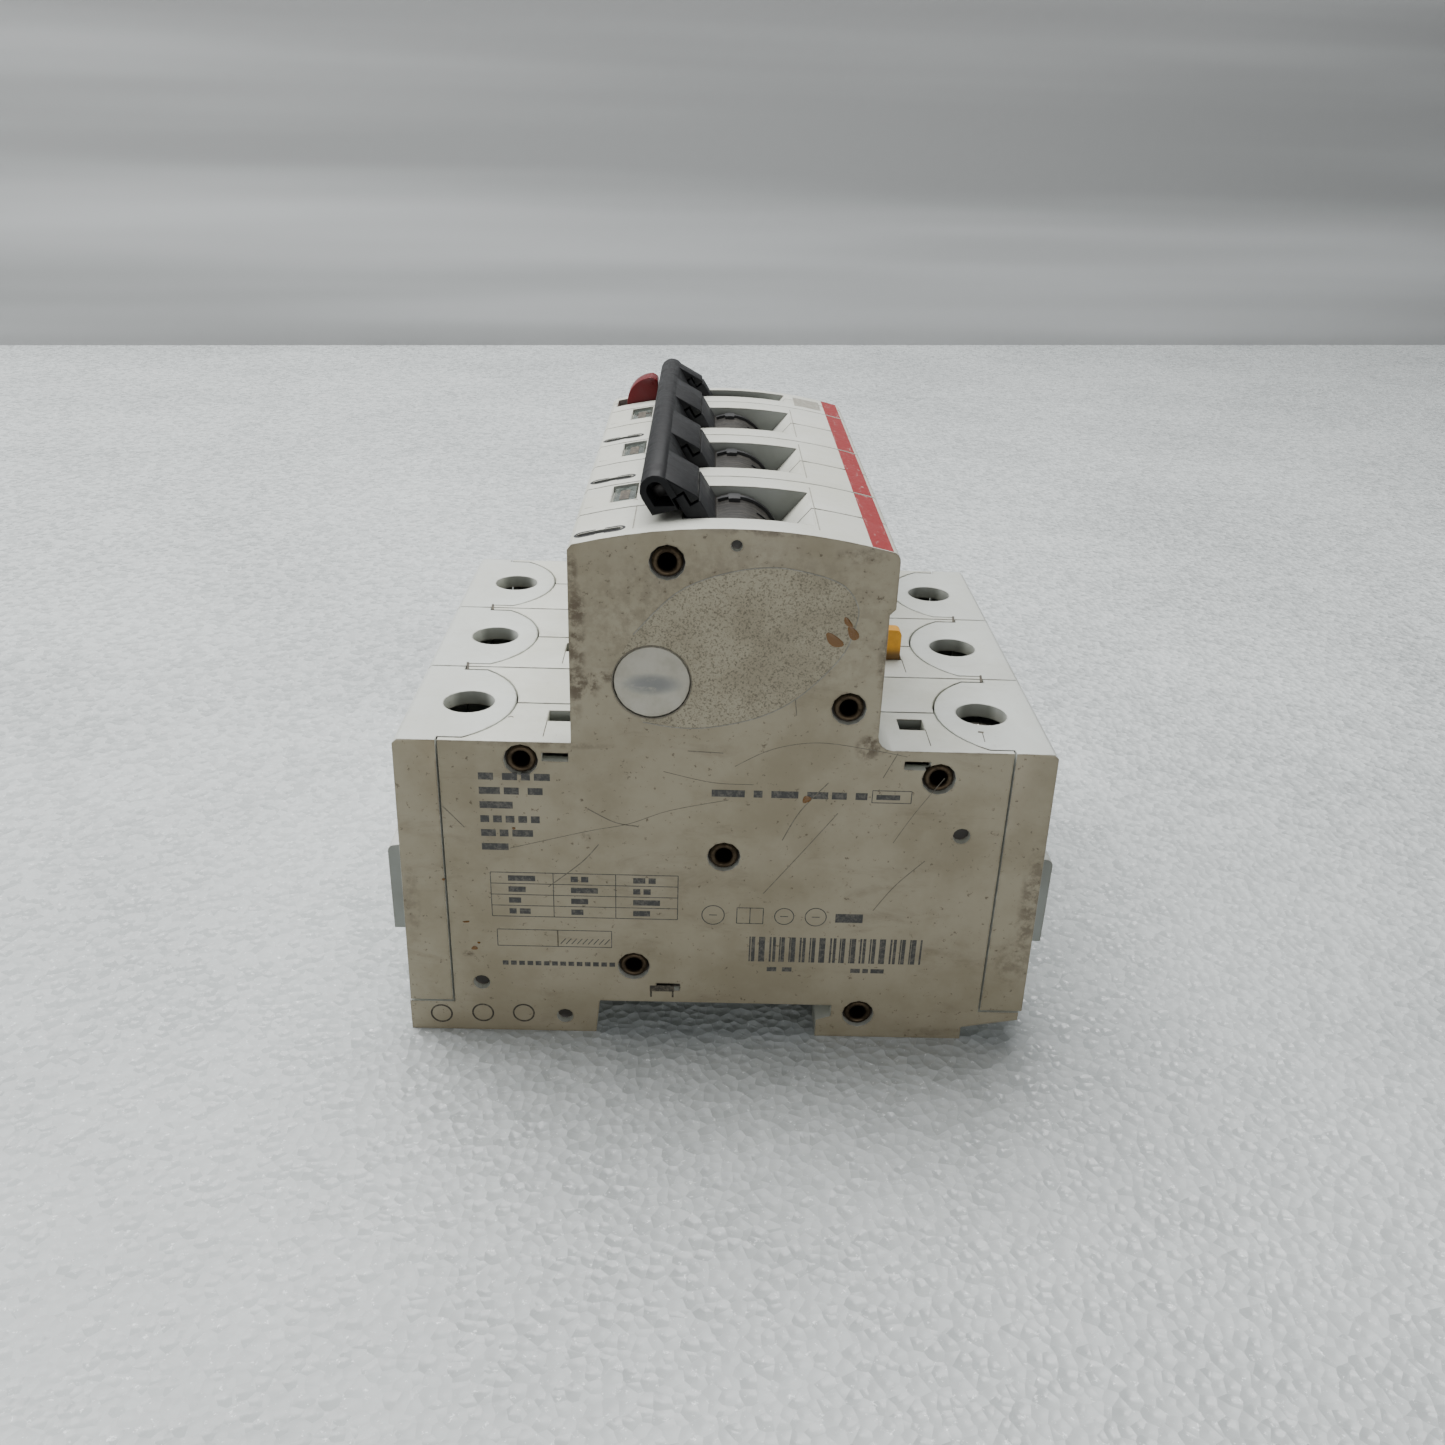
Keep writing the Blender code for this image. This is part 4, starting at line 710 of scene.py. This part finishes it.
def rivet_profile(flange, half):
    """Radius and depth points round a rivet's wall; its bore and body are shares of the flange."""
    bore = flange * RIVET_BORE
    body = flange * RIVET_BODY
    roll = (flange - bore) / 2
    near_lip = []
    for angle in LIP_ANGLES:
        near_lip.append((bore + roll + roll * math.cos(angle), -half + roll * (1 - math.sin(angle))))
    far_lip = [(radius, -depth) for radius, depth in reversed(near_lip)]
    return near_lip + far_lip + [(body, half - 2 * roll), (body, -half + 2 * roll)]


for number in RIVETS:
    node = f"rivet_{number}"
    low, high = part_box(node)
    work = bmesh.new()
    lathe(work, rivet_profile((high.x - low.x) / 2, (high.y - low.y) / 2), (low + high) / 2)
    piece(f"rivet_{number}_rolled", work, BRONZE, "housing", 50, (node,))


# The red lever: a sloped dome over a round foot

DOME_RADIUS = 4.9 * MM
CROWN_RADIUS = 0.9 * MM
CROWN_DROP = 0.2 * MM

low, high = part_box("aux_test_lever")
lever_pivot = Vector(JOINTS["test_lever_hinge"]["pos_m"])
foot_radius = lever_pivot.z - low.z
dome_centre = (low.x + DOME_RADIUS, high.z - DOME_RADIUS)
crown_centre = (high.x - CROWN_RADIUS, high.z - CROWN_RADIUS - CROWN_DROP)
outline = [
    (low.x, lever_pivot.z),
    *arc(dome_centre, DOME_RADIUS, 180, 92, 12),
    *arc(crown_centre, CROWN_RADIUS, 70, 0, 4),
    (high.x, lever_pivot.z),
    *arc((lever_pivot.x, lever_pivot.z), foot_radius, 0, -180, 10),
]
work = bmesh.new()
prism(work, outline, low.y, high.y, across)
dome = piece("test_lever_dome", work, RED, "test_lever", SHARP_ANGLE, ("aux_test_lever",))
rounded(dome, 0.5 * MM, 3)


# The hubs' rims and ribs: arcs on the drum, right of the arm


HUB_ROOT = HUB_RADIUS - 0.3 * MM
HUB_ARCS_END = -35
RIM_Y = 17.6 * MM
RIM_HEIGHT, RIM_WIDTH = 0.42 * MM, 0.9 * MM
KNOB_HEIGHT, KNOB_HALF = 0.5 * MM, 1.3 * MM
RIB_HEIGHT, RIB_WIDTH = 0.14 * MM, 0.35 * MM

# Each rib's Y from the pole's near face in mm, and the angle where it starts
RIBS = ((13.2, 62), (10.4, 48))


def hub_arc(work, start, end, height, near, far):
    """A raised band round part of the drum, between two angles in degrees and two depths."""
    centre = (HUB.x, HUB.z)
    steps = max(3, int(abs(end - start) / 6))
    outer = arc(centre, HUB_RADIUS + height, start, end, steps)
    prism(work, outer + arc(centre, HUB_ROOT, end, start, steps), near, far, across)


for pole in POLES:
    work = bmesh.new()
    rim_y = near_of(pole) + RIM_Y
    hub_arc(work, 112, HUB_ARCS_END, RIM_HEIGHT, rim_y, rim_y + RIM_WIDTH)
    hub_arc(work, 98, 84, KNOB_HEIGHT, rim_y - KNOB_HALF, rim_y + KNOB_HALF)
    piece(f"pole_{pole}_hub_rim", work, BLACK, "handle")
    work = bmesh.new()
    for offset, start in RIBS:
        rib_y = near_of(pole) + offset * MM
        hub_arc(work, start, HUB_ARCS_END, RIB_HEIGHT, rib_y, rib_y + RIB_WIDTH)
    piece(f"pole_{pole}_hub_ribs", work, BLACK, "handle")


# The front: the stripe, the faint seams, the windows' wells and the slots

PROUD = 0.03 * MM
SUNK = -0.12 * MM
STRIPE_LEFT, STRIPE_RIGHT = 18.3 * MM, 21.2 * MM
STRIPE_INSET = 0.25 * MM

# Faint lines on each pole: X and Y at both ends, then width, in mm, with Y from the pole's near face
SEAMS = (
    (-13.6, 2.6, -13.6, 13.4, 0.14),
    (11.4, 3.0, 11.4, 13.2, 0.14),
    (11.4, 13.6, 11.4, 24.0, 0.14),
    (11.4, 13.3, 18.4, 13.3, 0.12),
    (-21.2, 16.3, -13.6, 16.3, 0.10),
)
WELL_INSET = 0.9 * MM
WELL_LOW, WELL_HIGH = -0.5 * MM, -0.3 * MM
SLOT_X, SLOT_Y = -18.1 * MM, 3.5 * MM
SLOT_HALF = 2.3 * MM
SLOT_RADIUS, SLOT_RIM_RADIUS = 0.72 * MM, 1.0 * MM


def shell_spans():
    """The Y range of each pole's front and of the auxiliary module's."""
    spans = []
    for pole in POLES:
        spans.append((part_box(f"pole_{pole}_base_shell")[0].y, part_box(f"pole_{pole}_cover_shell")[1].y))
    spans.append((AUX_NEAR, ROW_FAR))
    return spans


def slot_outline(pole, radius, steps):
    """The round-ended outline of the screwdriver slot in a pole's front."""
    y = near_of(pole) + SLOT_Y
    right_end = arc((SLOT_X + SLOT_HALF, y), radius, -90, 90, steps)
    left_end = arc((SLOT_X - SLOT_HALF, y), radius, 90, 270, steps)
    return right_end + left_end


work = bmesh.new()
for near, far in shell_spans():
    band = rectangle(STRIPE_LEFT, near + STRIPE_INSET, STRIPE_RIGHT, far - STRIPE_INSET)
    prism(work, band, SUNK, PROUD, on_front)
piece("red_stripe", work, STRIPE)

work = bmesh.new()
for pole in POLES:
    near = near_of(pole)
    for x0, y0, x1, y1, width in SEAMS:
        ends = [(x0 * MM, near + y0 * MM), (x1 * MM, near + y1 * MM)]
        line(work, ends, width * MM, SUNK, PROUD, on_front)
piece("front_seam_lines", work, FAINT)

work = bmesh.new()
for pole in POLES:
    low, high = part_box(f"pole_{pole}_window_lens")
    near, far = low.y + WELL_INSET * 1.6, high.y - WELL_INSET * 2
    well = rectangle(low.x + WELL_INSET, near, high.x - WELL_INSET, far)
    prism(work, well, WELL_LOW, WELL_HIGH, on_front)
piece("window_wells", work, GROOVE)

# Painted shade: black floors in the screwdriver slots and a black ring round each slot's rim
work = bmesh.new()
for pole in POLES:
    prism(work, slot_outline(pole, SLOT_RADIUS, 8), -1.2 * MM, -0.25 * MM, on_front)
    loop(work, slot_outline(pole, SLOT_RIM_RADIUS, 10), 0.4 * MM, SUNK, 0.02 * MM, on_front)
piece("slot_floors", work, BLACK)


# Shoulders: tick marks over the seams, the blocks beside the pockets, and small marks

TICK_X = 41.2 * MM
TICK_LEAN = 0.25 * MM
BLOCK_EDGES = (-26.35, 29.35)

work = bmesh.new()
for seam in (1, 2):
    y = ROW_NEAR + seam * POLE_PITCH
    for side in (-1, 1):
        x = side * TICK_X
        lean = side * TICK_LEAN
        tick = [(x - lean, y - 1.4 * MM), (x + lean, y + 1.5 * MM)]
        line(work, tick, 0.35 * MM, SUNK, PROUD, on_shoulder)
for pole in POLES:
    near = near_of(pole)
    for x in BLOCK_EDGES:
        edge = [(x * MM, near + 1.9 * MM), (x * MM, near + 7.2 * MM)]
        line(work, edge, 0.12 * MM, SUNK, PROUD, on_shoulder)
line(work, mm([(-32.2, -37.9), (-31.7, -37.6), (-31.4, -37.9)]), 0.2 * MM, SUNK, PROUD, on_shoulder)
line(work, mm([(37.1, -38.9), (37.9, -39.1)]), 0.5 * MM, SUNK, PROUD, on_shoulder)
line(work, mm([(37.7, -39.2), (37.5, -42.2)]), 0.12 * MM, SUNK, PROUD, on_shoulder)
piece("shoulder_marks", work, GROOVE)


# The near side face: rough patch, rings, printing, scratches and drops

# The patch's outline in mm, from above the plug over the top and back to below it
PATCH = mm(
    [(-13.4, 68), (-7.8, 74), (-1.8, 76.9), (4.9, 78.1), (10.5, 77.4), (14.9, 75.8), (17, 72.9)]
    + [(16.9, 70.2), (15.6, 66.1), (12.4, 61.9), (8.5, 58.3), (3.8, 55.8)]
    + [(-2.7, 54.2), (-7.5, 54.1), (-12.0, 54.8)]
)
egg = curve_through(PATCH, 4)
plug_side = arc((PLUG_X, PLUG_Z), PLUG_RADIUS + 0.35 * MM, -108, 150, 24)
work = bmesh.new()
prism(work, egg + plug_side, SUNK, 0.02 * MM, on_side)
piece("rough_patch", work, ROUGH)
work = bmesh.new()
line(work, egg, 0.16 * MM, SUNK, 0.05 * MM, on_side)
piece("patch_outline", work, FAINT)
work = bmesh.new()
around_plug = arc((PLUG_X, PLUG_Z), PLUG_RADIUS + 0.2 * MM, 0, 352.5, 47)
loop(work, around_plug, 0.17 * MM, SUNK, 0.025 * MM, on_side)
piece("plug_ring", work, SCRATCH)

EJECTOR_MARKS = ((-43.4, 3.0), (-36.9, 3.3), (-30.5, 3.4))

work = bmesh.new()
for x, z in EJECTOR_MARKS:
    ring = arc((x * MM, z * MM), 1.6 * MM, 0, 350, 35)
    loop(work, ring, 0.28 * MM, SUNK, 0.02 * MM, on_side)
piece("ejector_rings", work, GROOVE)


# The printing's places: those without MM are in mm
INK_PROUD = 0.008 * MM
TABLE = (-34.6 * MM, -6.6 * MM, 21.6 * MM, 29.4 * MM)
TABLE_COLUMNS, TABLE_ROWS = 3, 4
RULE = 0.13 * MM
BLOCK_LEFT, BLOCK_TOP, BLOCK_PITCH = -35.6, 45.0, 2.35
BLOCK_LENGTHS = (10.3, 9.4, 6.6, 9.4, 8.4, 4.2)
DASH_SHARE = 0.72
BAR_WIDTHS = (0.22, 0.45, 0.3, 0.7, 0.22, 0.55)
BAR_GAPS = (0.3, 0.5, 0.25, 0.42)
BARS_LEFT, BARS_RIGHT = 4.6, 31.0
BARS_LOW, BARS_HIGH = 14.2 * MM, 18.8 * MM
CIRCLES = ((-1.2, 1.7), (9.6, 1.45), (14.4, 1.6))
CIRCLES_Z = 22.6 * MM
CIRCLE_LINE = 0.15 * MM


def words(work, left, right, low, height, seed):
    """A line of plain dashes in the rhythm of small print, without letters."""
    x = left
    step = seed
    while x < right - height:
        step = (step * 7 + 3) % 11
        length = height * (0.8 + 0.55 * (step % 5))
        end = min(x + length, right)
        prism(work, rectangle(x, low, end, low + height * DASH_SHARE), SUNK, INK_PROUD, on_side)
        x = end + height * (0.35 if step % 3 else 0.8)


def rules(work, left, right, low, high, columns, rows, width):
    """The ruled lines of a table with that many columns and rows."""
    for column in range(columns + 1):
        x = left + (right - left) * column / columns
        line(work, [(x, low), (x, high)], width, SUNK, INK_PROUD, on_side)
    for row in range(rows + 1):
        z = low + (high - low) * row / rows
        line(work, [(left, z), (right, z)], width, SUNK, INK_PROUD, on_side)


def text_block(work):
    """Lines of dashes, upper left."""
    for row, length in enumerate(BLOCK_LENGTHS):
        low = (BLOCK_TOP - BLOCK_PITCH * row) * MM
        words(work, BLOCK_LEFT * MM, (BLOCK_LEFT + length) * MM, low, 1.6 * MM, row + 2)


def ruled_table(work):
    """A table with a dash or two in each cell."""
    left, right, low, high = TABLE
    rules(work, *TABLE, TABLE_COLUMNS, TABLE_ROWS, RULE)
    for column in range(TABLE_COLUMNS):
        for row in range(TABLE_ROWS):
            x = left + (right - left) * (column + 0.28) / TABLE_COLUMNS
            z = low + (high - low) * (row + 0.24) / TABLE_ROWS
            words(work, x, x + (3.2 + (column + row) % 2) * MM, z, 1.35 * MM, column + row + 1)


def boxes_below(work):
    """Two boxes under the table, with slanted strokes and a line of dashes."""
    for left, right in ((-34.0, -24.8), (-24.8, -16.6)):
        rules(work, left * MM, right * MM, 16.2 * MM, 19.2 * MM, 1, 1, RULE)
    for stroke in range(9):
        x = (-24.4 + stroke * 0.84) * MM
        line(work, [(x, 16.7 * MM), (x + 0.8 * MM, 17.7 * MM)], 0.14 * MM, SUNK, INK_PROUD, on_side)
    words(work, -33.4 * MM, -15.8 * MM, 12.6 * MM, 1.1 * MM, 5)


def upper_line(work):
    """A line of dashes that ends in a box, under the patch."""
    words(work, -2.0 * MM, 20.6 * MM, 43.1 * MM, 1.6 * MM, 4)
    rules(work, 21.3 * MM, 27.0 * MM, 42.7 * MM, 44.7 * MM, 1, 1, RULE)
    words(work, 21.9 * MM, 26.6 * MM, 43.2 * MM, 1.15 * MM, 8)


def circles_and_boxes(work):
    """Three circles with a stroke in each, a double box and a few dashes."""
    for x, radius in CIRCLES:
        ring = arc((x * MM, CIRCLES_Z), radius * MM, 0, 350, 35)
        loop(work, ring, CIRCLE_LINE, SUNK, INK_PROUD, on_side)
        stroke = [((x - 0.6) * MM, CIRCLES_Z), ((x + 0.6) * MM, CIRCLES_Z)]
        line(work, stroke, CIRCLE_LINE, SUNK, INK_PROUD, on_side)
    rules(work, 2.4 * MM, 6.4 * MM, 21.2 * MM, 24.0 * MM, 2, 1, 0.14 * MM)
    words(work, 17.4 * MM, 22.6 * MM, 21.7 * MM, 2.2 * MM, 3)


def uneven_bars(work):
    """A row of uneven bars that encode nothing, with dashes under it."""
    x = BARS_LEFT
    bar = 0
    while x < BARS_RIGHT:
        width = BAR_WIDTHS[bar * 5 % 6]
        line(work, [(x * MM, BARS_LOW), (x * MM, BARS_HIGH)], width * MM, SUNK, INK_PROUD, on_side)
        x += width + BAR_GAPS[bar * 3 % 4]
        bar += 1
    words(work, 7.4 * MM, 12.6 * MM, 12.4 * MM, 1.1 * MM, 2)
    words(work, 20.4 * MM, 25.6 * MM, 12.4 * MM, 1.1 * MM, 6)


work = bmesh.new()
text_block(work)
ruled_table(work)
boxes_below(work)
upper_line(work)
circles_and_boxes(work)
uneven_bars(work)
piece("side_printing", work, INK)

# Painted shade: a dark rectangle and two short dark lines for the small slot low on the side face
work = bmesh.new()
prism(work, mm(rectangle(-10.7, 8.1, -6.9, 9.2)), SUNK, 0.01 * MM, on_side)
for x in (-10.5, -7.1):
    line(work, mm([(x, 7.0), (x, 8.2)]), 0.3 * MM, SUNK, 0.01 * MM, on_side)
piece("base_slot", work, GROOVE)

# Scratches on the side face, as X and Z places in mm
SCRATCHES = (
    ((1.2, 48.1), (6.5, 51.0), (13.1, 52.2), (21.0, 51.2), (25.8, 50.3)),
    ((16.5, 40.8), (12.0, 34.5), (6.2, 26.6)),
    ((14.8, 45.8), (11.0, 41.0), (8.6, 36.0)),
    ((-9.0, 47.0), (-2.0, 45.4), (4.0, 45.2)),
    ((24.4, 50.8), (22.6, 46.8)),
    ((-20.0, 40.6), (-16.0, 38.4), (-12.5, 37.8)),
    ((-4.0, 69.5), (-3.0, 65.5), (-3.4, 62.0)),
    ((30.0, 33.0), (26.0, 28.6), (23.0, 24.0)),
    ((-41.0, 40.5), (-38.0, 37.0)),
    ((-31.5, 33.6), (-20.0, 36.8), (-14.0, 38.2), (-8.0, 40.6), (0.5, 42.6)),
    ((-5.6, 50.4), (-0.5, 50.2)),
    ((-26.0, 27.0), (-21.0, 31.4), (-18.4, 34.6)),
    ((31.5, 47.0), (27.8, 41.2), (25.0, 36.0)),
    ((9.0, 61.0), (9.6, 56.4)),
)
work = bmesh.new()
for number, points in enumerate(SCRATCHES):
    width = (0.10 + 0.03 * (number % 3)) * MM
    line(work, curve_through(mm(points), 6), width, SUNK, 0.012 * MM, on_side)
piece("side_scratches", work, SCRATCH)


# Dried drops: X, Z, length and width in mm, and turn in degrees
DROP_PLACES = (
    (14.1, 67.9, 3.0, 1.5, -38),
    (16.6, 69.0, 2.4, 1.3, -58),
    (15.8, 70.6, 1.8, 0.8, -50),
    (11.8, 43.0, 1.4, 1.1, 35),
    (-37.6, 15.6, 1.0, 0.7, 10),
    (-36.9, 16.6, 0.5, 0.35, 0),
    (-30.8, 37.0, 0.5, 0.4, 0),
    (-41.6, 27.9, 0.5, 0.4, 0),
    (-38.6, 20.4, 1.1, 0.3, 5),
)
DROP_STEPS = 14

# A drop's dome from foot to top: share of its size, and height in mm
DROP_RINGS = ((1.0, -0.05), (0.97, 0.05), (0.7, 0.13), (0.35, 0.16))


def drop(work, x, z, long, wide, turn):
    """A dried drop: a flattened dome of uneven outline."""
    spin = math.radians(turn)
    rings = []
    for share, height in DROP_RINGS:
        ring = []
        for step in range(DROP_STEPS):
            angle = 2 * math.pi * step / DROP_STEPS
            wobble = 1 + 0.12 * math.sin(3 * angle + turn)
            a = long / 2 * share * wobble * math.cos(angle)
            b = wide / 2 * share * wobble * math.sin(angle)
            u = x + a * math.cos(spin) - b * math.sin(spin)
            v = z + a * math.sin(spin) + b * math.cos(spin)
            ring.append(work.verts.new(on_side(u * MM, v * MM, height * MM)))
        rings.append(ring)
    for first, second in zip(rings, rings[1:]):
        for i in range(DROP_STEPS):
            j = (i + 1) % DROP_STEPS
            work.faces.new((first[i], first[j], second[j], second[i]))
    work.faces.new(rings[0][::-1])
    work.faces.new(rings[-1])


work = bmesh.new()
for place in DROP_PLACES:
    drop(work, *place)
piece("dried_drops", work, DROPS)


# The auxiliary module's grey label

LABEL_LEFT, LABEL_RIGHT = 12.6 * MM, 17.6 * MM
LABEL_INSETS = (2.4 * MM, 2.6 * MM)

work = bmesh.new()
label = rectangle(LABEL_LEFT, AUX_NEAR + LABEL_INSETS[0], LABEL_RIGHT, ROW_FAR - LABEL_INSETS[1])
prism(work, label, SUNK, PROUD, on_front)
piece("aux_label", work, FAINT)


# The stage: a pale foam sheet, a plain backdrop, soft light and the camera


def foam_sheet():
    s = Surface("foam", 0.4)
    bead = s.cells(1.7 * MM)
    shade = s.axis("X", s.cells(1.7 * MM, "Color"))
    painted_glint = s.ramp(s.noise(1.1 * MM, 3, 0.8), 0.60, 0.70)
    cloud = s.ramp(s.noise(70 * MM, 4, 0.55), 0.3, 0.7)
    colour = s.mix(cloud, (0.41, 0.436, 0.436), (0.50, 0.53, 0.528))
    colour = s.mix(s.times(s.ramp(shade, 0.0, 1.0), 0.3), colour, (0.72, 0.75, 0.75))
    # Painted glints: bright specks mixed into the foam's colour
    s.colour(s.mix(s.times(painted_glint, 0.8), colour, (0.90, 0.93, 0.93)))
    s.roughness(s.ramp(shade, 0.0, 1.0, 0.2, 0.6))
    s.bump(s.maths("ADD", s.times(bead, 1.2), s.noise(9 * MM, 3)), 0.8, 0.45 * MM)
    return s.material


def backdrop_sheet():
    """The same foam on edge, in soft level bands, darkened towards its top by painted shade."""
    s = Surface("backdrop", 0.7)
    bands = s.ramp(s.noise(70 * MM, 3, 0.5, (0.05, 0.05, 1.0)), 0.34, 0.66)
    height = s.ramp(s.axis("Z"), 0.03, 0.26)
    colour = s.mix(bands, (0.31, 0.315, 0.315), (0.58, 0.59, 0.595))
    # Painted shade: the backdrop darkens towards its top
    s.colour(s.mix(s.times(height, 0.6), colour, (0.22, 0.22, 0.22)))
    s.bump(s.noise(6 * MM, 3), 0.2, 0.5 * MM)
    return s.material


def sheet(name, corners, material):
    mesh = bpy.data.meshes.new(name)
    mesh.from_pydata(corners, [], [range(len(corners))])
    obj = bpy.data.objects.new(name, mesh)
    bpy.context.scene.collection.objects.link(obj)
    give(obj, material)


# Metres; the backdrop stands behind the object, turned a little from it
BACK_MIDDLE = Vector((-0.008, 0.590, 0.0))
BACK_TURN = math.radians(10.3)
BACK_HALF = 1.6
BACK_HEIGHT = 0.9

sheet("floor", [(x, y, 0) for x, y in rectangle(-2.5, -1.5, 2.5, 2.5)], foam_sheet())
back_along = Vector((math.cos(BACK_TURN), math.sin(BACK_TURN), 0.0))
ends = [BACK_MIDDLE - back_along * BACK_HALF, BACK_MIDDLE + back_along * BACK_HALF]
raised = Vector((0, 0, BACK_HEIGHT))
sheet("backdrop", [ends[0], ends[1], ends[1] + raised, ends[0] + raised], backdrop_sheet())


def area_light(name, place, aim, size, power):
    """A white rectangle of light at a place, turned towards its aim, both in metres."""
    data = bpy.data.lights.new(name, "AREA")
    data.shape = "RECTANGLE"
    data.size, data.size_y = size
    data.energy = power
    light = bpy.data.objects.new(name, data)
    light.location = place
    light.rotation_euler = (Vector(aim) - Vector(place)).to_track_quat("-Z", "Y").to_euler()
    bpy.context.scene.collection.objects.link(light)


area_light("ceiling", (-0.12, 0.30, 0.85), (-0.05, 0.05, 0.0), (0.9, 0.6), 16)
area_light("window_light", (-0.8, 0.15, 0.6), (0, 0, 0.04), (0.5, 0.5), 5.0)
area_light("front_fill", (0.1, -0.9, 0.22), (0, 0, 0.02), (0.7, 0.3), 1.6)

world = bpy.data.worlds.new("room")
world.use_nodes = True
world.node_tree.nodes["Background"].inputs["Color"].default_value = (0.80, 0.82, 0.84, 1)
world.node_tree.nodes["Background"].inputs["Strength"].default_value = 0.25
bpy.context.scene.world = world

# The camera, fitted to the photograph; angles in radians
CAMERA_PLACE = Vector((-4.572, -210.145, 134.22)) * MM
YAW, PITCH, ROLL = 0.023, 0.449, 0.035
LENS_MM = 32.27

ahead = Vector((math.sin(YAW) * math.cos(PITCH), math.cos(YAW) * math.cos(PITCH), -math.sin(PITCH)))
level = ahead.cross(Vector((0, 0, 1))).normalized()
lift = level.cross(ahead)
right = level * math.cos(ROLL) + lift * math.sin(ROLL)
up = lift * math.cos(ROLL) - level * math.sin(ROLL)
camera_data = bpy.data.cameras.new("camera")
camera_data.lens = LENS_MM
camera_data.clip_start = 0.01
camera = bpy.data.objects.new("camera", camera_data)
camera.matrix_world = Matrix.Translation(CAMERA_PLACE) @ Matrix((right, up, -ahead)).transposed().to_4x4()
bpy.context.scene.collection.objects.link(camera)
bpy.context.scene.camera = camera
